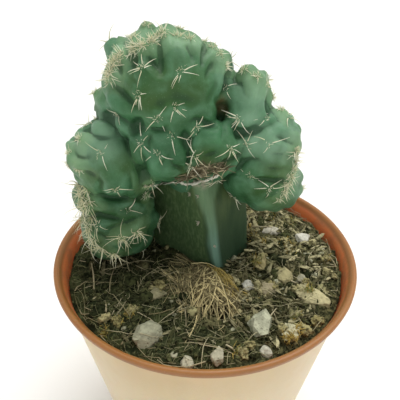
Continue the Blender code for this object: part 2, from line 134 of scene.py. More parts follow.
class Coat:
    """One material of the object, with its pattern in the object's own coordinates."""

    def __init__(self, name):
        self.material = bpy.data.materials.new(name)
        self.material.use_nodes = True
        self.tree = self.material.node_tree
        self.shader = self.tree.nodes["Principled BSDF"]
        self.place = self.node("ShaderNodeTexCoord", {}, {}, "Object")

    def set(self, socket, value):
        if isinstance(value, Value):
            self.tree.links.new(value.socket, socket)
        elif isinstance(value, tuple) and len(socket.default_value) > len(value):
            socket.default_value = (*value, 1)
        else:
            socket.default_value = value

    def node(self, kind, settings, sockets, output=0):
        made = self.tree.nodes.new(kind)
        for setting, value in settings.items():
            setattr(made, setting, value)
        for socket, value in sockets.items():
            self.set(made.inputs[socket], value)
        return Value(self, made.outputs[output])

    def noise(self, size, detail=4, place=None):
        """Cloudy noise from 0 to 1, with features of about this size."""
        sockets = {"Vector": place or self.place, "Scale": 1 / size, "Detail": detail}
        return self.node("ShaderNodeTexNoise", {}, {**sockets, "Roughness": 0.55})

    def cells(self, size):
        """0 at scattered points and rising away from them."""
        return self.node("ShaderNodeTexVoronoi", {}, {"Vector": self.place, "Scale": 1 / size})

    def stretched(self, x, y, z):
        return self.node(
            "ShaderNodeVectorMath", {"operation": "MULTIPLY"}, {0: self.place, 1: (x, y, z)}
        )

    def height(self):
        return self.node("ShaderNodeSeparateXYZ", {}, {0: self.place}, "Z")

    def stored(self, name):
        return self.node("ShaderNodeAttribute", {"attribute_name": name}, {}, "Fac")

    def mix(self, share, low, high):
        return self.node("ShaderNodeMix", {"data_type": "RGBA"}, {0: share, 6: low, 7: high}, 2)

    def relief(self, height, depth):
        return self.node("ShaderNodeBump", {}, {"Height": height, "Distance": depth})

    def finish(self, **sockets):
        for name, value in sockets.items():
            self.set(self.shader.inputs[name.replace("_", " ")], value)
        return self.material


def mesh_from(bm, name):
    """Moves a bmesh into a mesh of its own."""
    mesh = bpy.data.meshes.new(name)
    bm.to_mesh(mesh)
    bm.free()
    return mesh


def add_piece(bm, name, material, replaces=(), smooth=True):
    """Makes a bmesh into a piece of the object."""
    bm.normal_update()
    mesh = mesh_from(bm, name)
    mesh.materials.append(material)
    if smooth:
        mesh.shade_smooth()
    made = put_in_scene(name, mesh)
    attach(made, "root")
    if replaces:
        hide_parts(*replaces)
    return made


def apply_modifiers(thing):
    bpy.context.view_layer.update()
    graph = bpy.context.evaluated_depsgraph_get()
    thing.data = bpy.data.meshes.new_from_object(thing.evaluated_get(graph))
    thing.modifiers.clear()


# The wall's section, from the floor's middle up the inside, over the lip and down the outside:
# (radius, height) in millimetres
POT_PROFILE = (
    (0, 3.6), (20, 3.6), (34.6, 3.6), (35.76, 4.3), (40.58, 34), (44.47, 58), (48.68, 84),
    (49.1, 86.4), (49.6, 87.7), (50.2, 88.9), (50.7, 89.6), (51.1, 89.9), (51.6, 90), (52.1, 89.9),
    (52.42, 89.5), (52.45, 88.9), (52.2, 87.9), (51.95, 87.45), (51.5, 87.3), (50.6, 87.3),
    (50.2, 86.9), (45.7, 58), (41.9, 34), (36.9, 2.2), (36.75, 0.5), (36.3, 0), (35.3, 0),
    (34.8, 0.3), (34.4, 2), (18, 2), (0, 2),
)
# Middle of the wall, which parts inside from outside: radius at the foot, flare, foot of the lip
WALL_RADIUS, WALL_FLARE, LIP_FOOT = 36, 0.1582, 86.6
INSIDE_LOW, INSIDE_HIGH = 3, 88
DRAIN_HOLES, DRAIN_RADIUS, DRAIN_CIRCLE, DRILL_LENGTH = 6, 3.2, 23, 12


def turned(profile, steps):
    """A profile of (radius, height) in millimetres, turned once round the upright axis."""
    bm = bmesh.new()
    line = [bm.verts.new((radius * MM, 0, z * MM)) for radius, z in profile]
    edges = [bm.edges.new(pair) for pair in zip(line, line[1:])]
    bmesh.ops.spin(
        bm, geom=line + edges, axis=(0, 0, 1), angle=math.tau, steps=steps, use_merge=True
    )
    bmesh.ops.remove_doubles(bm, verts=bm.verts, dist=1e-6)
    bmesh.ops.recalc_face_normals(bm, faces=bm.faces)
    return bm


def pot_plastic():
    coat = Coat("pot_plastic")
    height = coat.height()
    streaks = coat.noise(0.014, 3, coat.stretched(1, 1, 0.12))
    # The outside of the wall is painted paler than the plastic, a painted glow of the light through
    # it, palest towards the foot; near the lip it stays darker, a painted shade under the lip.
    wall = coat.mix(streaks, (0.60, 0.43, 0.22), (0.72, 0.55, 0.33))
    wall = coat.mix(height.between(0.088, 0.055) * 0.6, wall, (0.80, 0.66, 0.45))
    lip = coat.mix(coat.noise(0.02, 3), (0.26, 0.100, 0.022), (0.34, 0.152, 0.036))
    soiled = coat.noise(0.006, 4).between(0.4, 0.65)
    inner = coat.mix(soiled, (0.64, 0.23, 0.075), (0.46, 0.20, 0.08))
    dust = coat.noise(0.0016, 5).between(0.62, 0.8) * 0.25
    colour = coat.mix(height.between(0.0866, 0.0873), wall, lip)
    colour = coat.mix(coat.stored("inside"), colour, inner)
    # Painted highlight: the top of the lip is painted lighter.
    colour = coat.mix(height.between(0.0885, 0.0899) * 0.2, colour, (0.50, 0.25, 0.09))
    grain = coat.noise(0.0009, 4)
    return coat.finish(
        Base_Color=coat.mix(dust, colour, (0.55, 0.40, 0.26)),
        Roughness=coat.noise(0.004, 3) * 0.2 + 0.32,
        Normal=coat.relief(grain, 0.00008),
        Subsurface_Weight=0.3,
        Subsurface_Radius=(1.0, 0.4, 0.15),
        Subsurface_Scale=0.004,
    )


bm = turned(POT_PROFILE, steps=160)
inside = bm.verts.layers.float.new("inside")
for vert in bm.verts:
    wall_middle = WALL_RADIUS * MM + WALL_FLARE * min(vert.co.z, LIP_FOOT * MM)
    within = vert.co.xy.length < wall_middle
    vert[inside] = within and INSIDE_LOW * MM < vert.co.z < INSIDE_HIGH * MM
pot = add_piece(bm, "pot_shell", pot_plastic(), ["pot"])

drills = bmesh.new()
for k in range(DRAIN_HOLES):
    bmesh.ops.create_cone(
        drills, cap_ends=True, segments=32, depth=DRILL_LENGTH * MM,
        radius1=DRAIN_RADIUS * MM, radius2=DRAIN_RADIUS * MM,
        matrix=Matrix.Rotation(math.tau * k / DRAIN_HOLES, 4, "Z")
        @ Matrix.Translation((DRAIN_CIRCLE * MM, 0, 3 * MM)),
    )
drill = put_in_scene("drill", mesh_from(drills, "drill"))
holes = pot.modifiers.new("holes", "BOOLEAN")
holes.operation, holes.object = "DIFFERENCE", drill
apply_modifiers(pot)
bpy.data.objects.remove(drill, do_unlink=True)
pot.data.set_sharp_from_angle(angle=math.radians(45))


# ---------------------------------------------------------------------------------------------
# Stem: the three-ribbed cactus stock that carries the graft, twisted a little and cut off level,
# with its ribs trimmed. Waxy dark skin, a pale bloom with a painted highlight beside the front rib,
# painted shade on the face left of it, and a corky cut rim.
# ---------------------------------------------------------------------------------------------
SOIL_LEVEL, STEM_TOP = 84.2 * MM, 120.5 * MM
STEM_FOOT = SOIL_LEVEL - 28 * MM
# Where the ribs stand at the mix and at the cut, and how far in the trimming starts at the cut
STEM_LOW = [Vector(at) * MM for at in ((4.8, -9.7), (18, 7), (-21.5, 10))]
STEM_HIGH = [Vector(at) * MM for at in ((-1.2, -8.2), (15, 6), (-22.5, 9))]
STEM_TRIM = (1.5, 7, 8)
# Share of the way to the middle by which ribs are blunt, faces are hollow and the foot is narrow
RIB_BLUNTED, FACE_HOLLOW, FOOT_NARROWED = 0.12, 0.15, 0.35
STEM_ROUGHNESS = 0.5
# Pale bloom with a painted highlight beside the front rib: (row of the photograph, its left or its
# right edge there)
BLOOM_AND_HIGHLIGHT_LEFT = (
    (184, 190), (196, 193), (206, 197), (216, 202), (230, 206), (245, 206), (270, 212),
)
BLOOM_AND_HIGHLIGHT_RIGHT = ((184, 221), (200, 216), (215, 217), (230, 219), (250, 221), (270, 224))


def stem_corners(z):
    """The three ribs' places at a height, and the middle between them."""
    blend = min(max((z - SOIL_LEVEL) / (STEM_TOP - SOIL_LEVEL), 0), 1)
    corners = [low.lerp(high, blend) for low, high in zip(STEM_LOW, STEM_HIGH)]
    return corners, sum(corners, Vector((0, 0))) / 3


def stem_point(place, z):
    """A point of the section at a height: place runs from 0 to 3 round the three ribs."""
    corners, centre = stem_corners(z)
    side, along = int(place) % 3, place % 1
    near = abs(2 * along - 1)
    pull = RIB_BLUNTED * near**6 + FACE_HOLLOW * (1 - near**2)
    narrowing = 1 - FOOT_NARROWED * max((SOIL_LEVEL - z) / (STEM_TOP - SOIL_LEVEL), 0)
    point = corners[side].lerp(corners[(side + 1) % 3], along)
    return centre + (point - centre) * (1 - pull) * narrowing


def in_photo(point):
    """The point of the photograph at which the camera sees this place."""
    seen = camera_turn.transposed() @ (point - camera.location)
    return PHOTO_MIDDLE - FOCAL * seen.x / seen.z, PHOTO_MIDDLE + FOCAL * seen.y / seen.z


def slice_off(bm, point, way):
    """Cuts away what lies beyond a plane, and closes the cut."""
    cut = bmesh.ops.bisect_plane(
        bm, geom=bm.verts[:] + bm.edges[:] + bm.faces[:], clear_outer=True, dist=1e-7,
        plane_co=point, plane_no=way,
    )
    rim = [part for part in cut["geom_cut"] if isinstance(part, bmesh.types.BMEdge)]
    bmesh.ops.edgeloop_fill(bm, edges=rim)


def tree_of(thing):
    """A finished piece, ready for rays and for nearest points."""
    return BVHTree.FromObject(thing, bpy.context.evaluated_depsgraph_get())


def off_stem(points, gap):
    """True if all the points keep this far from the stem's skin (mm)."""
    return all(stem_tree.find_nearest(point)[3] > gap * MM for point in points)


def stem_skin():
    coat = Coat("stem_skin")
    streaks = coat.noise(0.0022, 4, coat.stretched(1, 1, 0.14))
    fine = coat.noise(0.0007, 3)
    skin = coat.mix(streaks, (0.030, 0.066, 0.026), (0.072, 0.135, 0.054))
    high = coat.height().between(0.092, 0.114)
    skin = coat.mix(high * streaks.between(0.3, 0.7) * 0.8, skin, (0.115, 0.175, 0.062))
    skin = coat.mix((1 - high) * 0.5, skin, (0.024, 0.062, 0.040))
    # The real pale bloom, brightened into a painted highlight beside the front rib.
    bloom = coat.stored("bloom") * (streaks * 0.7 + 0.4)
    # The face left of the front rib is painted as it looks in shade, a painted shade, with real pale
    # brush marks.
    shade = coat.stored("shade")
    brushed = coat.noise(0.0009, 5, coat.stretched(1, 1, 0.4))
    speckle = brushed.between(0.42, 0.72) * 0.6
    shade_with_brush_marks = coat.mix(speckle, (0.062, 0.122, 0.044), (0.20, 0.30, 0.14))
    skin = coat.mix(shade * 0.75, skin, shade_with_brush_marks)
    skin = coat.mix(bloom, skin, coat.mix(high, (0.20, 0.38, 0.30), (0.18, 0.31, 0.17)))
    cork = coat.height().between(0.1172, 0.1198) * coat.noise(0.0012, 4).between(0.35, 0.55)
    return coat.finish(
        Base_Color=coat.mix(cork * 0.8, skin, (0.38, 0.36, 0.27)),
        Roughness=coat.noise(0.003, 3) * 0.25 + 0.42,
        Normal=coat.relief(streaks * 0.6 + fine * 0.4, 0.00028),
        Specular_IOR_Level=0.25,
        Subsurface_Weight=0.08,
        Subsurface_Radius=(0.6, 1.0, 0.4),
        Subsurface_Scale=0.002,
    )


bm = bmesh.new()
bmesh.ops.create_cone(
    bm, cap_ends=True, segments=240, radius1=1, radius2=1, depth=STEM_TOP - STEM_FOOT,
    matrix=Matrix.Translation((0, 0, (STEM_TOP + STEM_FOOT) / 2)),
)
upright = [edge for edge in bm.edges if abs(edge.verts[0].co.z - edge.verts[1].co.z) > 0.01]
bmesh.ops.subdivide_edges(bm, edges=upright, cuts=110, use_grid_fill=True)
bloom = bm.verts.layers.float.new("bloom")
shade = bm.verts.layers.float.new("shade")
for vert in bm.verts:
    place = 3 * (math.atan2(vert.co.y, vert.co.x) / math.tau % 1)
    point, z = stem_point(place, vert.co.z), vert.co.z
    out = (point - stem_corners(z)[1]).normalized()
    rough = STEM_ROUGHNESS * MM * noise.noise(Vector((point.x * 120, point.y * 120, z * 90)))
    vert.co = (*(point + out * rough), z)
    x, y = in_photo(vert.co)
    left, right = (np.interp(y, *zip(*edge)) for edge in (BLOOM_AND_HIGHLIGHT_LEFT, BLOOM_AND_HIGHLIGHT_RIGHT))
    # the bloom and its painted highlight lie on both sides of the front rib, and the painted shade,
    # with pale brush marks, on its left
    inward = min((x - left) / 5, (right - x) / 4)
    vert[bloom] = min(max(inward, 0), 1) if place < 0.6 or place > 2.4 else 0
    vert[shade] = min(max((place - 2.0) / 0.06, 0), 1) * min(max((left - x) / 2.5, 0), 1)
for side, trim in enumerate(STEM_TRIM):
    corner, centre = stem_point(side, STEM_TOP), stem_corners(STEM_TOP)[1]
    out = (corner - centre).normalized()
    slice_off(bm, (*(corner - out * trim * MM), STEM_TOP), (out.x, out.y, 1))
bmesh.ops.recalc_face_normals(bm, faces=bm.faces)
stem = add_piece(bm, "stem", stem_skin(), ["rootstock"])
stem.data.set_sharp_from_angle(angle=math.radians(50))
stem_tree = tree_of(stem)


# ---------------------------------------------------------------------------------------------
# Head: the crested chin cactus, one body of fan-shaped lobes grown together, as in the CAD head.
# Ribs spread over each lobe, and every grown areole sits on a chin of its own. Waxy blue-green
# skin, olive on the bellies, with painted highlights where it catches the light, and painted shade
# in the creases and on the low lobes.
# ---------------------------------------------------------------------------------------------
FRONT, BACK = (0, -1, 0.25), (0, 1, 0.2)
# Each lobe: centre, the way it grows, the way its broad side faces, half sizes (mm) and ribs
LOBES = (
    ((-6.5, 6, 129), (0, 0, 1), FRONT, (15, 15.5, 14), 3),
    ((-12, 0, 147), (-0.2, 0.1, 0.95), FRONT, (17.5, 17, 13), 6),
    ((-3, 3, 148), (0.5, 0, 0.85), (0.4, -0.9, 0.1), (12.5, 10, 9.5), 5),
    ((-16.8, 4, 161.3), (0.1, 0.1, 1), FRONT, (4.2, 3, 3.6), 3),
    ((-24.5, 5, 156.6), (-0.7, 0.1, 0.7), FRONT, (4.6, 4.2, 5), 3),
    ((-24.2, 6, 139.5), (-0.75, 0.1, 0.6), FRONT, (10.5, 9, 9.5), 5),
    ((-28, 0, 125.3), (-1, 0, 0.1), FRONT, (15.5, 12.5, 12), 6),
    ((-32, 0, 112.5), (-1, 0, -0.2), (0.1, -1, 0.2), (11.5, 8.5, 11), 5),
    ((-29.5, -1, 102), (-0.4, 0, -0.9), (0.15, -1, 0.1), (15.5, 12, 12), 5),
    ((-12, -5, 132.5), (-0.3, -0.2, 1), FRONT, (12, 10.5, 9), 5),
    ((1, -5, 131.5), (0.35, -0.2, 1), FRONT, (10, 9.5, 9), 4),
    ((11.3, 2, 142), (0.25, 0, 0.95), FRONT, (12, 7, 9), 4),
    ((16.5, 0, 130.5), (1, 0, 0.2), FRONT, (12.5, 12, 10.5), 6),
    ((18, 0, 120), (0.8, -0.1, -0.55), FRONT, (14, 11, 10.5), 6),
    ((-4, 17, 137), (0.1, 0.5, 0.85), BACK, (16, 16, 12), 7),
    ((-22, 17, 121), (-0.8, 0.5, 0), BACK, (15.5, 15, 12), 6),
    ((11, 17, 123), (0.8, 0.5, 0.1), BACK, (15, 14, 12), 6),
    ((-5, 20, 117), (0, 0.7, -0.5), BACK, (14, 13, 11), 6),
)
# Lobes fan out from a point this far behind their middle, and all grow out from the graft
FAN_BEHIND, VOXEL = 0.85, 0.55
GRAFT, HEAD_MIDDLE = Vector((-4, 4, 119)) * MM, Vector((-7, 0, 128)) * MM

# Areoles that the photograph shows, by their place in it: grown ones, the young ones along the
# growing lines at the lobes' rims, and the shaggy ones low on the left.
GROWN = (
    (142, 67), (181, 71), (138, 95), (175, 107), (226, 87), (117, 114), (158, 119), (197, 128),
    (239, 119), (266, 118), (141, 143), (172, 135), (158, 154), (101, 153), (246, 144),
    (270, 144), (231, 148), (249, 176), (270, 189), (115, 190), (127, 210),
    (97, 225), (127, 241), (289, 116), (96, 119), (190, 166), (153, 184), (194, 156),
)
YOUNG = (
    (163, 33), (158, 36), (153, 39), (148, 42), (143, 45), (138, 47), (132, 49), (127, 51),
    (122, 54), (118, 58), (114, 62), (111, 67), (109, 73), (108, 80), (147, 24), (133, 36),
    (178, 35), (190, 38), (203, 41), (213, 46), (220, 53), (227, 66), (244, 69), (257, 75),
    (267, 84), (277, 97), (284, 106), (147, 186), (146, 195), (297, 150), (296, 159),
    (294, 168), (291, 176), (288, 184), (285, 192), (280, 199), (71, 138), (69, 152),
    (68, 165), (70, 177),
)
SHAGGY = (
    (78, 186), (86, 190), (80, 199), (83, 208), (82, 219), (88, 230), (93, 240), (101, 249),
    (114, 255), (128, 259), (148, 253), (156, 243), (88, 204), (90, 218), (80, 192), (85, 225),
    (96, 246), (76, 200),
)
# Seen areoles that come closer than this to another are left out (mm). The unseen ones keep
# farther apart, and closer in the rows at the back lobes' rims, and clear of stem and mix.
SEEN_APART, ROW_APART, FACE_APART, STEM_APART, LOWEST = 2.3, 5.5, 9.5, 4, 90
# Rows run where the skin faces sideways, and this far from the graft (mm)
SIDEWAYS, ROW_FROM_GRAFT = 0.35, 24
# Under a grown areole, and under any other: radius and height of its chin, and width, reach and
# depth of the crease round it (mm)
CHIN_RADIUS, CHIN_HEIGHT = (2.7, 1.3), (0.9, 0.45)
CREASE_WIDTH, CREASE_REACH, CREASE_DEPTH = (4.5, 2.2), (5.2, 2.6), (2.4, 0.9)
# Dimple under a grown areole's spines: radius and depth (mm)
SEAT_RADIUS, SEAT_DEPTH = 0.9, 0.45
# Furrows between the knobs, as the photograph shows them: depth, half width (mm) and course
FURROWS = (
    (1.6, 0.9, (159, 40), (160, 50), (160.5, 58), (161, 66), (160, 74)),
    (1.6, 1.0, (148, 54), (150, 60), (156, 65), (160, 70)),
    (1.1, 0.8, (186, 40), (188, 47), (192, 54), (193, 62)),
    (1.2, 0.8, (205, 45), (203, 53), (203, 61), (201, 68)),
    (1.0, 1.0, (216, 57), (211, 66), (207, 75), (206, 82)),
    (1.2, 0.9, (133, 52), (135, 60), (137, 68)),
    (0.9, 0.9, (117, 60), (119, 68), (121, 78)),
    (2.0, 1.3, (107, 86), (114, 88), (120, 93), (126, 99), (133, 105), (142, 111)),
    (1.1, 2.0, (140, 111), (152, 107), (162, 104), (172, 100), (186, 99), (200, 101), (214, 101)),
    (1.2, 1.5, (214, 101), (219, 104), (222, 109), (221, 114)),
    (1.6, 1.0, (229, 68), (227, 75), (226, 84), (223, 93), (219, 100)),
    (1.8, 1.2, (98, 112), (104, 115), (112, 115), (120, 119), (127, 124), (132, 126)),
    (2.2, 1.3, (129, 124), (133, 127), (137, 124), (140, 119)),
    (1.8, 1.3, (82, 125), (86, 129), (92, 133), (100, 136), (110, 137)),
    (0.9, 0.7, (66, 138), (73, 139), (80, 140)),
    (1.5, 1.3, (72, 150), (76, 156), (82, 158), (90, 158)),
    (1.2, 1.0, (74, 170), (80, 172), (88, 173), (96, 176)),
    (1.0, 0.8, (129, 170), (131, 179), (131, 187), (126, 194)),
    (1.0, 0.8, (98, 177), (102, 182), (101, 189), (104, 194)),
    (1.5, 0.9, (103, 195), (110, 198), (118, 198), (127, 196)),
    (1.1, 0.8, (95, 211), (101, 214), (107, 216), (114, 218), (124, 220), (133, 221)),
    (1.1, 0.8, (103, 229), (112, 228), (120, 225), (128, 222), (137, 218)),
    (0.8, 0.8, (92, 229), (98, 233), (104, 237), (111, 241)),
    (1.0, 0.8, (84, 203), (92, 204), (99, 207)),
    (1.7, 1.3, (140, 150), (142, 160), (143, 172), (142, 184), (141, 196)),
    (0.9, 0.6, (168, 151), (169, 158), (174, 165), (181, 168)),
    (1.1, 0.6, (186, 151), (189, 157), (188, 164)),
    (0.9, 0.7, (160, 166), (164, 160), (169, 160)),
    (1.0, 0.8, (188, 123), (195, 119), (203, 120), (210, 125), (216, 127)),
    (1.0, 0.9, (150, 127), (158, 129), (164, 128), (168, 123)),
    (1.0, 0.9, (185, 130), (184, 138), (186, 146), (190, 150)),
    (0.9, 0.8, (150, 150), (148, 142), (151, 134)),
    (1.2, 1.0, (198, 154), (206, 156), (214, 154), (220, 149)),
    (1.4, 0.9, (222, 163), (229, 160), (235, 158), (240, 153)),
    (1.2, 0.8, (240, 166), (243, 161), (250, 159), (258, 160), (265, 165)),
    (1.7, 1.2, (229, 125), (238, 130), (249, 132), (260, 129), (268, 125), (276, 121), (284, 119)),
    (1.2, 0.8, (269, 93), (268, 102), (267, 110), (268, 118)),
    (0.8, 1.0, (242, 74), (240, 83), (243, 92), (250, 100)),
    (0.7, 0.8, (262, 84), (259, 94), (256, 104)),
    (1.0, 0.9, (297, 146), (290, 142), (282, 138), (274, 136)),
    (0.9, 0.9, (292, 158), (284, 155), (275, 154), (268, 152)),
    (0.9, 0.9, (264, 168), (271, 169), (280, 170), (289, 167)),
    (0.8, 0.8, (258, 180), (266, 180), (276, 182), (285, 179)),
    (0.9, 0.8, (222, 122), (224, 130), (222, 139), (225, 146)),
)
# Small knobs: place, radius and height (mm)
KNOBS = (
    (117, 182, 5.0, 2.8), (178, 158, 2.5, 1.6), (171, 172, 2.5, 1.3), (197, 146, 2.8, 1.0),
    (208, 108, 3.4, 1.2), (124, 42, 2.8, 1.0), (134, 40, 2.6, 0.9), (146, 30, 3.0, 0.8),
    (175, 47, 3.4, 0.9), (196, 48, 3.2, 0.9), (212, 54, 3.0, 0.8), (112, 100, 3.6, 1.0),
    (95, 128, 3.2, 0.8), (84, 145, 3.2, 0.8), (82, 167, 3.0, 0.7), (275, 108, 3.2, 0.8),
    (253, 168, 3.4, 0.9), (285, 130, 3.6, 0.8), (110, 207, 3.2, 0.7), (120, 235, 4.0, 0.7),
    (121, 49, 2.2, 0.9), (114, 57, 2.2, 0.9), (109, 67, 2.2, 0.9), (106, 77, 2.2, 0.9),
    (155, 31, 2.2, 0.8), (166, 32, 2.2, 0.8), (186, 42, 2.0, 0.8), (205, 48, 2.0, 0.8),
    (219, 61, 2.2, 0.8), (225, 70, 2.0, 0.8), (244, 71, 2.2, 0.8), (262, 78, 2.2, 0.8),
    (272, 98, 2.2, 0.8), (290, 118, 2.4, 0.9), (297, 132, 2.2, 0.9), (298, 146, 2.2, 0.9),
    (294, 176, 2.2, 0.8), (72, 133, 2.2, 0.8), (68, 146, 2.4, 0.9), (70, 160, 2.2, 0.9),
    (76, 176, 2.2, 0.8), (100, 112, 2.2, 0.8), (86, 121, 2.2, 0.8), (172, 150, 2.2, 0.7),
    (189, 166, 2.0, 0.9), (232, 150, 2.2, 0.8), (248, 128, 2.4, 0.7), (266, 132, 2.4, 0.7),
)
# Stretches of another colour, and spots of painted highlight: place and radius (mm)
OLIVE = (
    (168, 88, 9), (150, 98, 7), (195, 90, 7), (128, 82, 5), (120, 226, 7), (108, 240, 6),
    (275, 172, 7), (181, 172, 4), (205, 156, 4), (228, 156, 4), (98, 172, 6), (122, 165, 5),
    (104, 216, 6), (128, 238, 7), (96, 228, 6), (136, 208, 6), (115, 228, 7),
    (295, 172, 3), (262, 190, 5),
)
# Painted highlights: the skin is painted paler where light falls on the lobes' tops and rims.
PAINTED_HIGHLIGHTS = (
    (256, 92, 6), (272, 102, 5), (286, 117, 5), (293, 138, 5), (180, 40, 5), (153, 38, 4),
    (124, 50, 5), (112, 68, 5), (84, 146, 5), (100, 126, 5), (92, 120, 4), (215, 50, 4),
    (226, 70, 4), (297, 160, 3), (292, 180, 3), (76, 160, 3), (76, 138, 6), (90, 138, 6),
    (104, 130, 5), (84, 152, 5), (104, 146, 5), (140, 37, 4), (166, 38, 4), (192, 42, 4),
    (204, 46, 4), (258, 140, 5), (272, 146, 5), (250, 118, 4), (246, 80, 4), (286, 150, 4),
)
BROWNED = (
    (188, 173, 2.0), (196, 170, 2.2), (205, 168, 2.2), (214, 168, 2.0), (222, 168, 1.6),
    (221, 102, 1.8), (222, 109, 1.8),
)


def lobe_point(lobe, unit, phase):
    """Where a point of the unit sphere lies on a lobe, with the lobe's ribs."""
    centre, out_way, facing, halves, ribs = lobe
    out, side, deep = unit
    angle = math.atan2(side, out + FAN_BEHIND)
    reach = FAN_BEHIND * math.cos(angle)
    reach += math.sqrt(max(0, 1 - (FAN_BEHIND * math.sin(angle)) ** 2))
    along = min(max((math.hypot(side, out + FAN_BEHIND) / reach - 0.3) / 0.6, 0), 1)
    place = angle * ribs / math.pi + (0 if deep < 0 else 0.5)
    place += 0.12 * noise.noise(Vector(unit) * 1.5 + Vector((0, phase, 7)))
    rim = math.exp(-((deep / 0.3) ** 2))
    rib = abs(math.sin(math.pi * place)) ** 0.75 - 0.75
    rib *= 0.4 if deep > 0 and facing[1] < 0 else 1
    knob = abs(math.sin(math.tau * place)) ** 0.8 - 0.5
    swell = 1 + 0.24 * (1 - rim) * rib * along * along * (3 - 2 * along) + 0.11 * rim * knob
    swell += 0.06 * noise.noise(Vector(unit) * 2 + Vector((phase, 0, 0)))
    x = Vector(out_way).normalized()
    y = Vector(facing).cross(x).normalized()
    local = Vector([part * half * swell for part, half in zip(unit, halves)])
    return (Vector(centre) + x * local.x + y * local.y + x.cross(y) * local.z) * MM


def islands(bm):
    """The separate shells of a bmesh, in order, each as a list of its vertices."""
    reached, found = set(), []
    for first in bm.verts:
        if first in reached:
            continue
        shell = [first]
        reached.add(first)
        for vert in shell:
            for link in vert.link_edges:
                other = link.other_vert(vert)
                if other not in reached:
                    reached.add(other)
                    shell.append(other)
        found.append(shell)
    return found


def grow_lobes():
    """The lobes as one closed body."""
    bm = bmesh.new()
    for phase, lobe in enumerate(LOBES):
        ball = bmesh.ops.create_icosphere(bm, subdivisions=6, radius=1)
        for vert in ball["verts"]:
            vert.co = lobe_point(lobe, vert.co.normalized(), phase)
    body = put_in_scene("lobes", mesh_from(bm, "lobes"))
    fuse = body.modifiers.new("fuse", "REMESH")
    fuse.mode, fuse.voxel_size = "VOXEL", VOXEL * MM
    soften = body.modifiers.new("soften", "SMOOTH")
    soften.factor, soften.iterations = 0.5, 7
    apply_modifiers(body)
    bm = bmesh.new()
    bm.from_mesh(body.data)
    for shell in sorted(islands(bm), key=len)[:-1]:
        bmesh.ops.delete(bm, geom=shell, context="VERTS")
    bpy.data.objects.remove(body, do_unlink=True)
    return bm


def look(tree, x, y):
    """Place, normal, face and distance of what the camera sees of a piece at a photo point."""
    return tree.ray_cast(camera.location, photo_ray(x, y))


def find_areoles(bm):
    """(seat, kind, place) of each areole: those in the photograph, then evenly over the rest."""
    tree = BVHTree.FromBMesh(bm)
    found = []
    for kind, places in (("grown", GROWN), ("young", YOUNG), ("shaggy", SHAGGY)):
        for x, y in places:
            hit = look(tree, x, y)[0]
            if hit is None:
                way = photo_ray(x, y)
                along = (HEAD_MIDDLE - camera.location).dot(way)
                hit = tree.find_nearest(camera.location + way * along)[0]
            if all((hit - other).length > SEEN_APART * MM for other, _, _ in found):
                found.append((hit, kind, (x, y)))
    draw = random.Random(5)
    verts = [vert for vert in bm.verts if vert.index % 3 == 0]
    draw.shuffle(verts)
    for vert in verts:
        point, normal = vert.co, vert.normal
        if not off_stem([point], STEM_APART) or point.z < LOWEST * MM:
            continue
        rim = abs(normal.y) < SIDEWAYS and (point - GRAFT).length > ROW_FROM_GRAFT * MM
        spacing = (ROW_APART if rim and point.y > 3 * MM else FACE_APART) * MM
        if all((point - other).length > spacing for other, _, _ in found):
            kind = "young" if rim and draw.random() < 0.6 else "grown"
            found.append((point.copy(), kind, None))
    return found


def drawn_points(course, shares):
    """Points of the photograph that lie at these shares of each leg of a course."""
    for (x0, y0), (x1, y1) in zip(course, course[1:]):
        for share in shares:
            yield x0 + (x1 - x0) * share, y0 + (y1 - y0) * share


def skin_line(tree, course, step=1.2):
    """Points of the skin, a step of pixels apart, along a course over the photograph."""
    found = []
    for start, end in zip(course, course[1:]):
        for x, y in drawn_points((start, end), np.arange(0, 1, step / math.dist(start, end))):
            hit = look(tree, x, y)[0]
            if hit:
                found.append(hit)
    return np.array(found)


def spots(points, tree, places):
    """1 at each (x, y, radius) place of the photograph, and fading out from it."""
    share = np.zeros(len(points))
    for x, y, radius in places:
        hit = look(tree, x, y)[0]
        if hit:
            far = np.linalg.norm(points - np.array(hit), axis=1) / (radius * MM)
            share = np.maximum(share, np.exp(-(far**2)))
    return share


def keep_off_stem(vert, gap, depth):
    """Moves a vertex out to this gap from the stem, if it lies nearer or up to this deep in it."""
    near, out, _, far = stem_tree.find_nearest(vert.co)
    if far < depth and (vert.co - near).dot(out) < gap:
        vert.co = near + out * gap


def share_out(points, seats, ways, grown):
    """For each point: its nearest areole and the next, how far both are, and the chins' swell."""
    first, second = np.full(len(points), 9.0), np.full(len(points), 9.0)
    owner, rival = np.zeros(len(points), int), np.zeros(len(points), int)
    chin = np.zeros(len(points))
    for k, (seat, way) in enumerate(zip(seats, ways)):
        apart = points - seat
        along = apart @ way
        across = np.linalg.norm(apart - along[:, None] * way, axis=1)
        stretch = np.where(along < 0, 1.9, 1.2) if grown[k] else 1.2
        far = np.hypot(along / stretch, across)
        closer, next_best = far < first, (far >= first) & (far < second)
        rival = np.where(closer, owner, np.where(next_best, k, rival))
        second = np.where(closer, first, np.where(next_best, far, second))
        owner, first = np.where(closer, k, owner), np.where(closer, far, first)
        size, height = (pair[0 if grown[k] else 1] for pair in (CHIN_RADIUS, CHIN_HEIGHT))
        reach = np.hypot((along + 0.7 * size * MM) / 1.5, across) / (size * MM)
        chin += np.exp(-(reach**2)) * height
    return owner, rival, first, second, chin


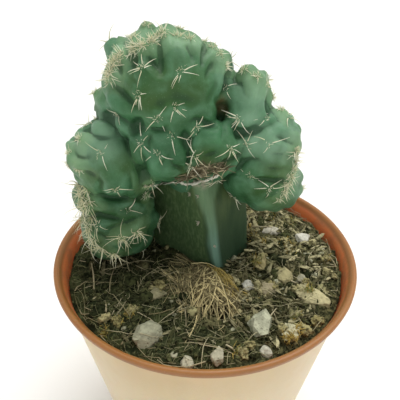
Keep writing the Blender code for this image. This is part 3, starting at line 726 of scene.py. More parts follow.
def drawn_furrows(points, tree):
    """How deep the drawn furrows sink each point, and how high their lips swell it (mm)."""
    sink, swell = np.zeros(len(points)), np.zeros(len(points))
    for depth, half, *course in FURROWS:
        line = skin_line(tree, course)
        if len(line) < 3:
            continue
        margin = 4 * half * MM
        close = (points > line.min(axis=0) - margin) & (points < line.max(axis=0) + margin)
        close = np.flatnonzero(close.all(axis=1))
        gap = np.linalg.norm(points[close][:, None] - line[None], axis=2) / (half * MM)
        ends = np.sin(np.linspace(0.15, math.pi - 0.15, len(line))) ** 0.6
        cut = ((0.6 * np.exp(-(gap**2)) + 0.4 * np.exp(-((gap / 2.3) ** 2))) * ends).max(axis=1)
        sink[close] = np.maximum(sink[close], depth * cut)
        lip = 0.28 * depth * np.exp(-(((gap.min(axis=1) - 2.7) / 1.1) ** 2))
        swell[close] = np.maximum(swell[close], lip)
    return sink, swell


def evened(bm, points, rounds):
    """The points after they have moved so many times to the middle of their neighbours."""
    ends = np.array([(edge.verts[0].index, edge.verts[1].index) for edge in bm.edges])
    count = np.bincount(ends.ravel(), minlength=len(points))[:, None]
    for _ in range(rounds):
        total = np.zeros_like(points)
        for axis in range(3):
            for here, there in ((0, 1), (1, 0)):
                total[:, axis] += np.bincount(
                    ends[:, here], weights=points[ends[:, there], axis], minlength=len(points)
                )
        points = total / count
    return points


def press_chins(bm, areoles):
    """Raises a chin under every areole and the knobs, and presses in the furrows between them."""
    bm.verts.ensure_lookup_table()
    tree = BVHTree.FromBMesh(bm)
    points = np.array([vert.co[:] for vert in bm.verts])
    normals = np.array([vert.normal[:] for vert in bm.verts])
    seats = np.array([seat[:] for seat, _, _ in areoles])
    grown = np.array([kind == "grown" for _, kind, _ in areoles])
    ways = seats - np.array(GRAFT[:])
    ways /= np.linalg.norm(ways, axis=1)[:, None]
    owner, rival, first, second, chin = share_out(points, seats, ways, grown)
    between = seats[rival] - seats[owner]
    between /= np.linalg.norm(between, axis=1)[:, None] + 1e-9
    radial = 1 - np.abs(np.sum(between * ways[owner], axis=1))
    width, reach, depth = (
        np.where(grown[owner], *pair) for pair in (CREASE_WIDTH, CREASE_REACH, CREASE_DEPTH)
    )
    edge = np.clip((second - first) / (width * MM), 0, 1)
    near = np.exp(-((first / (reach * MM)) ** 2))
    crease = (1 - edge) ** 2 * near * (0.06 + 0.94 * radial)
    crease *= np.clip(1 + normals[:, 1] * 1.4, 0.15, 1)
    sink, swell = drawn_furrows(points, tree)
    knob = np.zeros(len(points))
    for x, y, radius, height in KNOBS:
        knob = np.maximum(knob, height * spots(points, tree, [(x, y, radius)]))
    outward = np.array(camera.location[:]) - points
    outward = normals + outward / np.linalg.norm(outward, axis=1)[:, None]
    outward /= np.linalg.norm(outward, axis=1)[:, None] + 0.1
    dimple = np.exp(-((first / (SEAT_RADIUS * MM)) ** 2)) * grown[owner]
    lift = np.minimum(chin, 1.15) * 1.15 - crease * depth
    lift += swell * np.clip(1 - sink, 0, 1) - sink - SEAT_DEPTH * dimple
    points = points + (normals * lift[:, None] + outward * knob[:, None]) * MM
    for vert, point in zip(bm.verts, points):
        vert.co = point
        keep_off_stem(vert, gap=0.35 * MM, depth=16 * MM)
    raised = ((points - evened(bm, points, 40)) * normals).sum(axis=1) / MM
    stored = {
        "raised": np.clip(0.5 + raised / 1.2, 0, 1),
        "tender": np.where(grown[owner], 0, np.exp(-first / (3.5 * MM))),
        "olive": spots(points, tree, OLIVE),
        "bleached": spots(points, tree, PAINTED_HIGHLIGHTS),
        "browned": spots(points, tree, BROWNED),
    }
    for name, values in stored.items():
        layer = bm.verts.layers.float.new(name)
        bm.verts.ensure_lookup_table()
        for vert, value in zip(bm.verts, values):
            vert[layer] = value


def head_skin():
    coat = Coat("head_skin")
    raised, tender = coat.stored("raised"), coat.stored("tender")
    cloud = coat.noise(0.011)
    skin = coat.mix(cloud.between(0.35, 0.7), (0.036, 0.125, 0.050), (0.066, 0.200, 0.092))
    olive = coat.stored("olive") * (cloud * 0.8 + 0.45)
    skin = coat.mix(olive, skin, (0.040, 0.100, 0.019))
    # Painted shade: the lower lobes are painted darker.
    skin = coat.mix(coat.height().between(0.126, 0.104) * 0.75, skin, (0.024, 0.082, 0.030))
    # Waxy bloom on the raised parts, painted brighter as a highlight.
    bloom = coat.noise(0.006).between(0.35, 0.85) * raised.between(0.45, 0.72) * 0.65
    skin = coat.mix(bloom, skin, (0.15, 0.34, 0.20))
    # Painted highlights on the lobes' tops and rims.
    skin = coat.mix(coat.stored("bleached") * 0.62, skin, (0.27, 0.45, 0.30))
    skin = coat.mix(tender * 0.45, skin, (0.28, 0.42, 0.18))
    # Painted shade: the sunken skin in creases and furrows is painted darker.
    skin = coat.mix(raised.between(0.46, 0.12) * 0.6, skin, (0.012, 0.044, 0.016))
    skin = coat.mix(coat.stored("browned") * 0.9, skin, (0.10, 0.072, 0.026))
    flecks = coat.cells(0.0007).between(0.2, 0.1) * 0.25
    fine = coat.noise(0.00055, 3)
    return coat.finish(
        Base_Color=coat.mix(flecks, skin, (0.2, 0.34, 0.19)),
        Roughness=coat.noise(0.002, 3) * 0.2 + 0.36,
        Normal=coat.relief(fine * 0.5 + coat.noise(0.002, 3), 0.00022),
        Specular_IOR_Level=0.25,
        Subsurface_Weight=0.12,
        Subsurface_Radius=(0.7, 1.2, 0.5),
        Subsurface_Scale=0.0025,
    )


bm = grow_lobes()
areoles = find_areoles(bm)
press_chins(bm, areoles)
head = add_piece(bm, "head_body", head_skin(), ["cactus_head"])
head_tree = tree_of(head)


# ---------------------------------------------------------------------------------------------
# Spines and wool: grown areoles bear a star of stout cream spines, young ones a tuft of short
# fine spines in pale wool, and the shaggy ones long bristles that tangle. All grow from the head.
# ---------------------------------------------------------------------------------------------
SOIL_RADIUS, SOIL_HEAP, SOIL_DOME, SOIL_EDGE_DROP = 48.71, 0.6, 1.3, 0.9
SOIL_LUMP, LUMP_SPACING = 1.5, 9


def soil_height(x, y):
    """Top of the mix, as in the CAD: a flat dome with crumb-like lumps."""
    radius, edge = math.hypot(x, y), SOIL_RADIUS * MM
    heap = SOIL_HEAP * MM * (x - 0.3 * y) / edge + SOIL_DOME * MM * (1 - (radius / edge) ** 2)
    lumps = SOIL_LUMP * MM * noise.noise(Vector((x, y, 0)) / (LUMP_SPACING * MM))
    small = noise.noise(Vector((x, y, 20 * MM)) / (LUMP_SPACING * MM / 2))
    lumps += SOIL_LUMP / 2 * MM * small
    return SOIL_LEVEL + heap + lumps - SOIL_EDGE_DROP * MM * (radius / edge) ** 6


def evenly(draw):
    """A random vector with parts from -1 to 1."""
    return Vector([draw.uniform(-1, 1) for _ in range(3)])


def any_way(draw):
    """A random vector that favours no direction."""
    return Vector([draw.gauss(0, 1) for _ in range(3)])


def wander(draw, start, way, length, bend, steps, pull=Vector((0, 0, 0))):
    """A loosely curved line from start, of the given length."""
    line, way = [start.copy()], way.normalized()
    turn = evenly(draw)
    for _ in range(steps):
        way = (way + (turn + evenly(draw) * 0.5) * bend / steps + pull / steps).normalized()
        line.append(line[-1] + way * length / steps)
    return line


def strands(lines, name, material, seed):
    """Thin tapered strands: one bevelled spline for each (points, radius, share left at tip)."""
    curve = bpy.data.curves.new(name, "CURVE")
    curve.dimensions, curve.bevel_depth, curve.bevel_resolution = "3D", 1, 0
    curve.use_fill_caps = True
    for points, radius, tip in lines:
        spline = curve.splines.new("POLY")
        spline.points.add(len(points) - 1)
        spline.points.foreach_set("co", [part for point in points for part in (*point, 1)])
        last = len(points) - 1
        spline.points.foreach_set(
            "radius", [radius * (1 - (1 - tip) * (k / last) ** 1.3) for k in range(last + 1)]
        )
    thing = put_in_scene(name, curve)
    bpy.context.view_layer.update()
    tubes = bpy.data.meshes.new_from_object(
        thing.evaluated_get(bpy.context.evaluated_depsgraph_get())
    )
    bpy.data.objects.remove(thing, do_unlink=True)
    bm = bmesh.new()
    bm.from_mesh(tubes)
    bmesh.ops.remove_doubles(bm, verts=bm.verts, dist=1e-6)
    bmesh.ops.recalc_face_normals(bm, faces=bm.faces)
    tint(bm, seed)
    return add_piece(bm, name, material)


def tint(bm, seed):
    """Stores a random tint for every separate shell."""
    draw = random.Random(seed)
    layer = bm.verts.layers.float.new("tint")
    for shell in islands(bm):
        value = draw.random()
        for vert in shell:
            vert[layer] = value


def clear_way(line):
    """True if a line keeps off the stem and the mix."""
    above = all(point.z > soil_height(point.x, point.y) + CLEAR_OF_MIX * MM for point in line)
    return above and off_stem(line, CLEAR_OF_STEM)


def two_tone(name, dark, pale, roughness, few_pale=1.0):
    """Dry plant fibre: a tint of its own for every strand, and blotches along it."""
    coat = Coat(name)
    colour = coat.mix(coat.stored("tint") ** few_pale, dark, pale)
    blotch = tuple((a + 2 * b) / 3 * 0.85 for a, b in zip(dark, pale))
    return coat.finish(
        Base_Color=coat.mix(coat.noise(0.003, 2) * 0.5, colour, blotch),
        Roughness=roughness,
        Specular_IOR_Level=0.2,
    )


# Spines of each kind of areole: steepness, length, radius, bend, how far apart they stand,
# steps, pull along the skin's normal and down, hairs of wool (mm)
SPINES = {
    "grown": ((0.3, 1.0), (2.4, 5.6), 0.15, 0.5, 0.5, 6, -0.75, 0, 16),
    "young": ((0.6, 1.8), (1.6, 3.4), 0.11, 0.5, 0.3, 6, -0.4, 0, 26),
    "shaggy": ((0.3, 1.3), (3, 7.5), 0.13, 1.5, 0.3, 7, 0, -1.1, 20),
}
ROOTED, WOOL_ROOTED, WOOL_RADIUS = 0.35, 0.2, 0.07
# Spines keep this far from the stem and from the mix (mm)
CLEAR_OF_STEM, CLEAR_OF_MIX = 0.6, 0.4
# The growing lines of the crown and of the right lobe, which are woolly from end to end
GROWTH = (
    ((108, 83), (108, 73), (112, 64), (119, 56), (129, 50), (141, 45), (150, 41), (158, 35),
     (164, 31)),
    ((297, 150), (296, 160), (294, 168), (291, 176), (288, 185), (284, 194)),
)
draw = random.Random(17)
spine_lines, bristle_lines, wool_lines = [], [], []
for seat, kind, place in areoles:
    near, normal, _, _ = head_tree.find_nearest(seat)
    hit = look(head_tree, *place) if place else (None,)
    if hit[0] and (hit[0] - near).length < 6 * MM:
        near, normal = hit[:2]
    side = normal.cross((seat - GRAFT).normalized()).normalized()
    along = side.cross(normal).normalized()
    count = {"grown": draw.randint(4, 7), "young": draw.randint(3, 6), "shaggy": 13}[kind]
    spin, fan = draw.uniform(0, math.tau), draw.choice((math.tau, math.tau, math.pi))
    if fan < math.tau:
        spin = -math.pi + draw.uniform(-0.5, 0.5)
    steepness, lengths, thick, bend, apart, steps, inward, down, hairs = SPINES[kind]
    for k in range(count):
        angle = spin + fan * k / count + draw.uniform(-0.4, 0.4)
        flat = side * math.cos(angle) + along * math.sin(angle)
        rise, length = draw.uniform(*steepness), draw.uniform(*lengths) * MM
        root = near + flat * apart * MM - normal * ROOTED * MM
        pull = normal * inward + Vector((0, 0, down))
        line = wander(draw, root, flat + normal * rise, length, bend, steps, pull)
        if clear_way(line[2:]):
            goal = bristle_lines if kind == "shaggy" else spine_lines
            goal.append((line, thick * draw.uniform(0.8, 1.2) * MM, 0.15))
    for _ in range(hairs):
        flat = side * draw.gauss(0, 0.5) + along * draw.gauss(0, 0.5)
        root = near + flat * 0.9 * MM - normal * WOOL_ROOTED * MM
        hair = wander(draw, root, normal + flat * 0.9, draw.uniform(0.5, 1.4) * MM, 1.3, 3)
        wool_lines.append((hair, WOOL_RADIUS * MM, 0.4))
for course in GROWTH:
    for point in skin_line(head_tree, course):
        near, normal, _, _ = head_tree.find_nearest(Vector(point))
        if noise.noise(near / (2.5 * MM)) < -0.25:
            continue
        for goal, count, lean, lengths, bend, steps, thick, tip in (
            (wool_lines, 6, 0.5, (0.5, 1.3), 1.3, 3, WOOL_RADIUS, 0.4),
            (spine_lines, 2, 0.9, (1.6, 3.6), 0.5, 5, 0.11, 0.2),
        ):
            for _ in range(count):
                flat = any_way(draw)
                root = near + (flat - normal * flat.dot(normal)) * 0.5 * MM
                root -= normal * WOOL_ROOTED * MM
                length = draw.uniform(*lengths) * MM
                line = wander(draw, root, normal + flat * lean, length, bend, steps)
                goal.append((line, thick * MM, tip))
strands(spine_lines, "head_spines",
        two_tone("spine_horn", (0.77, 0.73, 0.46), (0.98, 0.98, 0.80), 0.5), 18)
strands(bristle_lines, "head_bristles",
        two_tone("bristle_straw", (0.69, 0.66, 0.39), (0.98, 0.97, 0.74), 0.6), 19)
strands(wool_lines, "head_wool",
        two_tone("areole_wool", (0.60, 0.57, 0.34), (1.0, 1.0, 0.79), 0.9), 20)


# ---------------------------------------------------------------------------------------------
# Graft: where the head was set on the cut stem. A pale corky rim runs round the cut, and brown
# shreds of dried tissue hang in the gap above it. Small pale areoles sit on the front rib.
# ---------------------------------------------------------------------------------------------
# Course of the rim and places of the shreds in the photograph. Right of this the rim is thick.
CUT_RIM = (
    (150, 186), (160, 184), (170, 182), (180, 181.5), (186, 184), (192, 184), (199, 182),
    (206, 180), (213, 177), (219, 174.5),
)
THICK_FROM = 178
SHREDS = (
    (182, 178), (187, 176), (192, 173), (197, 171), (202, 168), (207, 167), (212, 167),
    (217, 166), (221, 168), (203, 175), (195, 178), (211, 172),
)
# Areoles of the stem: place in the photograph and size
STEM_AREOLES = ((199, 222, 0.9), (190, 194, 0.7), (198, 196, 0.6), (214, 246, 0.6))


def seen_at(x, y, trees):
    """The nearest surface point, and its normal, under a point of the photograph."""
    hits = [hit for hit in (look(tree, x, y) for tree in trees) if hit[0]]
    return min(hits, key=lambda hit: hit[3])[:2] if hits else (None, None)


draw = random.Random(23)
callus_lines, shred_lines, tuft_lines = [], [], []
for leg in zip(CUT_RIM, CUT_RIM[1:]):
    thick = 2.1 if leg[0][0] > THICK_FROM else 0.8
    for _ in range(3):
        line = []
        for x, y in drawn_points(leg, (0, 0.2, 0.4, 0.6, 0.8, 1)):
            hit, normal = seen_at(x, y + draw.uniform(-1, 1), (stem_tree, head_tree))
            if hit:
                line.append(hit + normal * draw.uniform(0.1, 0.35) * MM)
        if len(line) > 3:
            callus_lines.append((line, draw.uniform(0.12, 0.2) * thick * MM, 0.6))
for x, y in SHREDS:
    for _ in range(12):
        hit, normal = seen_at(
            x + draw.gauss(0, 3), y + draw.gauss(0, 1.8), (stem_tree, head_tree)
        )
        if hit:
            way = Vector((draw.uniform(-1, 1), draw.uniform(-0.4, 0.1), draw.uniform(-0.5, 0.5)))
            length, rise = draw.uniform(1.2, 3.8) * MM, draw.uniform(0, 0.2)
            way -= normal * way.dot(normal)
            line = wander(draw, hit + normal * 0.2 * MM, way + normal * rise, length, 0.9, 6)
            shred_lines.append((line, draw.uniform(0.09, 0.26) * MM, 0.4))
for x, y, size in STEM_AREOLES:
    hit, normal = seen_at(x, y, (stem_tree,))
    for _ in range(22):
        turn = Vector((draw.gauss(0, 1), draw.gauss(0, 0.3), draw.gauss(0, 1)))
        flat = (turn - normal * turn.dot(normal)) * 0.3 * size * MM
        length = draw.uniform(0.4, 1.5) * size * MM
        line = wander(draw, hit + flat, normal + flat * 900, length, 1, 4)
        tuft_lines.append((line, 0.10 * MM, 0.3))
strands(callus_lines, "graft_callus",
        two_tone("corky_rim", (0.62, 0.60, 0.47), (0.88, 0.87, 0.76), 0.9), 24)
strands(shred_lines, "graft_shreds",
        two_tone("dried_tissue", (0.045, 0.036, 0.014), (0.66, 0.58, 0.37), 0.9, few_pale=2.4),
        25)
strands(tuft_lines, "stem_areoles",
        two_tone("stem_wool", (0.50, 0.48, 0.36), (0.78, 0.75, 0.62), 0.9), 26)


# ---------------------------------------------------------------------------------------------
# Potting mix: dark, mossy peat with coir shreds, clods and pumice crumbs. It is greener and more
# fibrous at the front left, and full of straw-coloured shreds on the right. The bed is one body.
# ---------------------------------------------------------------------------------------------
# Clumps and crumbs of the bed: how far apart they stand and how high (mm)
CLUMP_SIZE, CLUMP_HEIGHT, CRUMB_SIZE, CRUMB_HEIGHT = 5, 0.9, 3, 1.0


def fine_height(x, y):
    """The bed's own height, with its clumps and crumbs."""
    clumps = noise.noise(Vector((x, y, 5 * MM)) / (CLUMP_SIZE * MM))
    crumbs = noise.fractal(Vector((x, y, 0)) / (CRUMB_SIZE * MM), 1.0, 2.1, 4)
    return soil_height(x, y) + (CLUMP_HEIGHT * clumps + CRUMB_HEIGHT * crumbs) * MM


def peat():
    coat = Coat("potting_mix")
    patches, grain = coat.noise(0.006, 5), coat.noise(0.0012, 5)
    right = coat.node("ShaderNodeSeparateXYZ", {}, {0: coat.place}, "X").between(-0.008, 0.022)
    colour = coat.mix(patches.between(0.38, 0.62), (0.012, 0.016, 0.006), (0.060, 0.072, 0.028))
    colour = coat.mix(grain.between(0.54, 0.74) * 0.8, colour, (0.20, 0.21, 0.10))
    moss = coat.noise(0.010, 3).between(0.50, 0.64) * 0.7
    colour = coat.mix(moss, colour, (0.026, 0.036, 0.015))
    straw = coat.mix(grain.between(0.42, 0.62), (0.020, 0.020, 0.009), (0.16, 0.148, 0.066))
    return coat.finish(
        Base_Color=coat.mix(right * 0.75, colour, straw),
        Roughness=0.95,
        Normal=coat.relief(grain, 0.0008),
        Specular_IOR_Level=0.1,
    )


# The bed's flat top, in rings, and its section below that down the wall and over the floor
BED_RADIUS, BED_TOP, BED_RINGS = 48.25, 84, 108
BED_BELOW = ((47.9, 80), (43, 50), (35.3, 4.4), (0, 4.4))
# Loose bits lie no farther out than this, clear of the pot's wall
BED_REACH = 47

top = [(BED_RADIUS * ring / BED_RINGS, BED_TOP) for ring in range(BED_RINGS + 1)]
bm = turned([*top, *BED_BELOW], steps=400)
for vert in bm.verts:
    if vert.co.z > (BED_TOP - 1) * MM:
        vert.co.z = fine_height(vert.co.x, vert.co.y)
bed = add_piece(bm, "mix_bed", peat(), ["soil"])
bed_tree = tree_of(bed)


def scatter(count, draw, outer=BED_REACH, right=0.0):
    """Random places on the bed, clear of the stem, and the more to the right if asked."""
    made = 0
    while made < count:
        radius, angle = math.sqrt(draw.uniform(0, outer**2)) * MM, draw.uniform(0, math.tau)
        x, y = radius * math.cos(angle), radius * math.sin(angle)
        if draw.random() < right and x + 0.3 * y < draw.uniform(-10, 18) * MM:
            continue
        if off_stem([Vector((x, y, 86 * MM))], 0.8):
            made += 1
            yield x, y


def strew(name, material, count, sizes, seed, flat=0.75, right=0.0, sunk=0.3, long=1.0,
          subdivisions=1, seen=()):
    """Loose bits: each a small ball knocked out of shape, and drawn out into a shred if long.

    Those in seen lie where the photograph shows them: (x, y, size in mm).
    """
    draw = random.Random(seed)
    form = bmesh.new()
    bmesh.ops.create_icosphere(form, subdivisions=subdivisions, radius=1)
    corners = [vert.co.copy() for vert in form.verts]
    mesh = mesh_from(form, name + "_form")
    bm = bmesh.new()
    lying = [(*look(bed_tree, x, y)[0].xy, size) for x, y, size in seen]
    for x, y in scatter(count, draw, right=right, outer=BED_REACH - 0.6 - sizes[1]):
        lying.append((x, y, min(draw.uniform(*sizes), draw.uniform(sizes[0], sizes[1] * 1.4))))
    for x, y, size in lying:
        size *= MM
        at = Vector((x, y, fine_height(x, y) + size * (0.5 - sunk)))
        tip = Vector((draw.uniform(-1, 1), draw.uniform(-1, 1), draw.uniform(-0.35, 0.35)))
        turn = tip.to_track_quat("X", "Z").to_matrix()
        wide, deep = draw.uniform(0.8, 1.4) * long, draw.uniform(0.6, 1.0) / long**0.5
        placed = []
        for corner in corners:
            if subdivisions > 1:
                shift = Vector((x, y, 0)) / MM
                knock = 1 + 0.5 * noise.fractal(corner * 1.6 + shift, 0.7, 2.0, subdivisions + 1)
            else:
                knock = draw.uniform(0.7, 1.2)
            lump = Vector((corner.x * wide, corner.y * deep, corner.z * flat)) * knock * size
            placed += (at + turn @ lump)[:]
        mesh.vertices.foreach_set("co", placed)
        bm.from_mesh(mesh)
    tint(bm, seed)
    add_piece(bm, name, material, smooth=subdivisions > 1)


def crumb_coat(name, dark, pale, gaps=0.45):
    coat = Coat(name)
    grain = coat.noise(0.0013, 5)
    colour = coat.mix(coat.stored("tint"), dark, pale)
    shadow = tuple(gaps * part for part in dark)
    return coat.finish(
        Base_Color=coat.mix(grain.between(0.58, 0.34), colour, shadow),
        Roughness=0.95,
        Normal=coat.relief(grain, 0.0006),
        Specular_IOR_Level=0.1,
    )


# Clods that stand out in the photograph: place and size (mm)
BIG_CLODS = (
    (283, 278, 2.5), (278, 271, 1.7), (261, 291, 2.9), (271, 288, 2.5), (254, 264, 2.9),
    (262, 258, 2.0), (298, 291, 2.4), (306, 284, 1.8), (291, 336, 2.7), (301, 330, 2.3),
    (282, 330, 1.9), (246, 232, 2.0), (258, 240, 2.0), (268, 214, 2.1), (285, 243, 2.1),
    (325, 259, 2.2), (251, 214, 1.8), (296, 222, 2.0), (160, 287, 2.6), (153, 291, 1.9),
    (117, 323, 1.9), (132, 312, 2.1), (242, 354, 2.3), (236, 314, 2.0), (312, 244, 1.9),
    (330, 275, 1.9), (318, 322, 2.2), (104, 320, 1.8), (250, 346, 1.8), (280, 226, 2.0),
)
strew("mix_crumbs", crumb_coat("peat_crumb", (0.016, 0.020, 0.008), (0.12, 0.125, 0.052)),
      1700, (0.3, 1.1), 31)
strew("mix_clods", crumb_coat("clod", (0.07, 0.066, 0.025), (0.46, 0.43, 0.22), 0.3),
      90, (1.2, 2.6), 35, flat=0.7, right=0.8, sunk=0.6, subdivisions=2)
strew("mix_big_clods", crumb_coat("big_clod", (0.34, 0.30, 0.13), (0.56, 0.51, 0.28), 0.25),
      0, (1, 2), 38, sunk=0.4, subdivisions=4, seen=BIG_CLODS)
strew("mix_dark_clods", crumb_coat("dark_clod", (0.020, 0.026, 0.010), (0.085, 0.095, 0.038)),
      120, (1.2, 2.8), 36, flat=0.7, sunk=0.6, subdivisions=2)
strew("mix_shreds", crumb_coat("coir_shred", (0.05, 0.046, 0.018), (0.60, 0.55, 0.32), 0.8),
      600, (0.6, 1.9), 32, flat=0.25, right=0.92, sunk=0.1, long=2.2)
strew("mix_dark_shreds", crumb_coat("old_shred", (0.022, 0.025, 0.010), (0.14, 0.145, 0.062), 0.8),
      600, (0.5, 1.4), 37, flat=0.3, sunk=0.1, long=1.9)
strew("mix_grit", crumb_coat("pale_grit", (0.36, 0.36, 0.23), (0.66, 0.65, 0.48), 0.7),
      120, (0.4, 1.3), 33, right=0.85)


# ---------------------------------------------------------------------------------------------
# Dry roots and stalks that lie over the mix: very many fine ones, some long and pale, and a few
# broken stalks.
# ---------------------------------------------------------------------------------------------
# Roots that the photograph shows: radius in millimetres and course
SEEN_ROOTS = (
    (0.30, (72, 304), (73, 296), (77, 289), (84, 284), (90, 281)),
    (0.34, (115, 319), (120, 312), (125, 304), (131, 297)),
    (0.22, (112, 316), (118, 306), (122, 299), (128, 295)),
    (0.30, (169, 316), (177, 312), (185, 309), (192, 307)),
    (0.30, (192, 307), (198, 311), (204, 317), (210, 323)),
    (0.22, (185, 310), (186, 320), (186, 330), (190, 338), (188, 346), (183, 353)),
    (0.24, (130, 311), (140, 314), (150, 320), (160, 328)),
    (0.20, (80, 262), (95, 264), (108, 262), (118, 260), (135, 260)),
    (0.20, (100, 273), (110, 275), (122, 275)),
    (0.22, (168, 299), (176, 301), (184, 304), (192, 307)),
    (0.22, (150, 284), (160, 288), (170, 284), (182, 287), (196, 293)),
    (0.20, (165, 270), (175, 276), (186, 284), (197, 291)),
    (0.20, (80, 290), (92, 287), (104, 283), (116, 284)),
    (0.18, (140, 268), (152, 270), (163, 276), (172, 280)),
    (0.20, (245, 330), (252, 336), (262, 338), (272, 334)),
    (0.20, (272, 310), (276, 320), (280, 328), (284, 333)),
    (0.20, (290, 296), (298, 304), (306, 306)),
    (0.24, (290, 277), (300, 279), (312, 281)),
    (0.24, (343, 258), (345, 268), (346, 280), (345, 292)),
    (0.24, (270, 240), (280, 247), (292, 251), (300, 252)),
    (0.20, (300, 226), (309, 228), (318, 233), (322, 240)),
)
draw = random.Random(41)
fine_lines, pale_lines, stalk_lines = [], [], []
for kind, count, lengths, radius in (
    ("fine", 2600, (3, 10), 0.085), ("long", 200, (9, 24), 0.13), ("stalk", 40, (5, 15), 0.3),
):
    for x, y in scatter(count, draw):
        angle = draw.uniform(0, math.tau)
        way = Vector((math.cos(angle), math.sin(angle), draw.uniform(-0.05, 0.4)))
        start = Vector((x, y, fine_height(x, y) + draw.uniform(-0.2, 0.8) * MM))
        steps = 5 if kind == "fine" else 9
        bend = 0.4 if kind == "stalk" else 1.7
        length = draw.uniform(*lengths) * MM
        line = wander(draw, start, way, length, bend, steps, Vector((0, 0, -0.5)))
        for point in line:
            point.xy *= min(1, BED_REACH * MM / math.hypot(point.x, point.y))
            top = fine_height(point.x, point.y)
            point.z = min(max(point.z, top + radius * MM * 0.4), top + 2.5 * MM)
        if off_stem(line[1:], 0.4):
            goal = {"fine": fine_lines, "long": pale_lines, "stalk": stalk_lines}[kind]
            goal.append((line, radius * MM * draw.uniform(0.7, 1.25), 0.5))
for radius, *course in SEEN_ROOTS:
    line = []
    for x, y in drawn_points(course, (0, 0.25, 0.5, 0.75)):
        hit = look(bed_tree, x, y)[0]
        if hit and math.hypot(hit.x, hit.y) < BED_REACH * MM:
            line.append(hit + Vector((0, 0, (radius + draw.uniform(0.1, 0.5)) * MM)))
    if len(line) > 4:
        stalk_lines.append((line, radius * MM * 0.8, 0.45))
strands(fine_lines, "mix_fibres",
        two_tone("fibre", (0.022, 0.029, 0.011), (0.36, 0.36, 0.18), 0.85, few_pale=2.8),
        42)
strands(pale_lines, "mix_long_roots",
        two_tone("long_root", (0.20, 0.18, 0.08), (0.66, 0.60, 0.38), 0.85), 44)
strands(stalk_lines, "mix_stalks",
        two_tone("stalk", (0.26, 0.22, 0.11), (0.66, 0.58, 0.38), 0.85), 43)


# ---------------------------------------------------------------------------------------------
# Root mat: a matted tangle of dry tan roots that spills from the stem's foot towards the pot's
# lip. A low dark core fills its hollow in the mix, painted shade for the deep gaps in the tangle,
# and loose roots lie over it and out of it.
# ---------------------------------------------------------------------------------------------
# Middle of the mat, half its width, length and height, and how far it is turned (degrees)
MAT_PLACE, MAT_HALVES, MAT_TURN = (1.9, -17.4), (8, 14, 4.6), 27
CORE_HEIGHT = 0.62
# Loose roots at the head of the mat, where the photograph shows them
WISPS = (
    ((168, 262), (180, 264), (192, 271), (201, 284), (206, 296)),
    ((175, 255), (186, 261), (196, 269), (205, 281), (211, 295)),
    ((183, 253), (190, 258), (200, 264), (208, 274), (214, 288)),
    ((191, 252), (197, 257), (204, 263), (213, 272), (221, 286), (226, 300)),
    ((198, 258), (207, 264), (216, 274), (223, 287), (228, 302)),
    ((170, 268), (177, 275), (184, 286), (190, 300)),
    ((164, 272), (172, 278), (181, 283), (190, 286), (199, 293)),
    ((186, 264), (180, 272), (178, 283), (182, 296), (190, 308)),
)


def mat_point(across, along, up):
    """A point of the mat: across and along in half widths and half lengths."""
    flat = Matrix.Rotation(math.radians(MAT_TURN), 2) @ Vector(
        (across * MAT_HALVES[0], along * MAT_HALVES[1])
    )
    x, y = (MAT_PLACE[0] + flat.x) * MM, (MAT_PLACE[1] + flat.y) * MM
    base = soil_height(MAT_PLACE[0] * MM, MAT_PLACE[1] * MM)
    return Vector((x, y, base + up * MAT_HALVES[2] * MM))


bm = bmesh.new()
bmesh.ops.create_icosphere(bm, subdivisions=5, radius=1)
for vert in bm.verts:
    rough = 0.90 + 0.16 * noise.fractal(vert.co * 2.6, 1.0, 2.0, 4)
    vert.co = mat_point(vert.co.x * rough, vert.co.y * rough, vert.co.z * rough * CORE_HEIGHT)
    keep_off_stem(vert, gap=0.4 * MM, depth=12 * MM)
# The core is painted dark: painted shade deep in the tangle, seen through the gaps between roots.
shaded_core = crumb_coat("mat_core", (0.030, 0.024, 0.010), (0.09, 0.07, 0.03))
core = add_piece(bm, "root_mat_core", shaded_core, ["root_tuft"])
core_tree = tree_of(core)

draw = random.Random(53)
LOCK_STEPS = 11
mat_lines, golden_lines = [], []
for kind, locks, each, lengths, curl in (
    ("fall", 42, 7, (7, 19), 0.6), ("cross", 44, 3, (4, 11), 0.9), ("loop", 90, 1, (4, 9), 3.4),
    ("golden", 16, 8, (6, 15), 0.4),
):
    for _ in range(locks):
        lock_x, lock_y = draw.gauss(0, 0.5), draw.uniform(-0.75, 1.0)
        lock_heading = draw.uniform(0, math.tau)
        if kind in ("fall", "golden"):
            lock_y, lock_heading = draw.uniform(-0.1, 1.05), draw.gauss(-math.pi / 2, 0.3)
        if kind == "golden":
            lock_x = draw.gauss(0.7, 0.2)
        lock_bend, lock_lift = draw.gauss(0, curl), draw.uniform(0.6, 1.2)
        for _ in range(each):
            sx, sy = lock_x + draw.gauss(0, 0.09), lock_y + draw.gauss(0, 0.07)
            heading, bend = lock_heading + draw.gauss(0, 0.12), lock_bend + draw.gauss(0, 0.3)
            lift, step = lock_lift + draw.gauss(0, 0.09), draw.uniform(*lengths) / LOCK_STEPS
            line = []
            for _ in range(LOCK_STEPS + 1):
                dome = math.sqrt(max(0.0, 1 - min(sx * sx * 0.8 + sy * sy, 1)))
                point = mat_point(sx, sy, dome * lift + draw.uniform(0, 0.05))
                point.z = max(point.z, fine_height(point.x, point.y) + 0.15 * MM)
                line.append(point)
                heading += bend / LOCK_STEPS + draw.gauss(0, 0.12)
                sx += math.cos(heading) * step / MAT_HALVES[0]
                sy += math.sin(heading) * step / MAT_HALVES[1]
            if math.hypot(line[-1].x, line[-1].y) > BED_REACH * MM:
                continue
            on_stem = [stem_tree.find_nearest(point) for point in line]
            if all(gap > 0.35 * MM and (point - near).dot(out) > 0
                   for point, (near, out, _, gap) in zip(line, on_stem) if gap < 5 * MM):
                goal = golden_lines if kind == "golden" else mat_lines
                goal.append((line, draw.uniform(0.1, 0.26) * MM, 0.5))
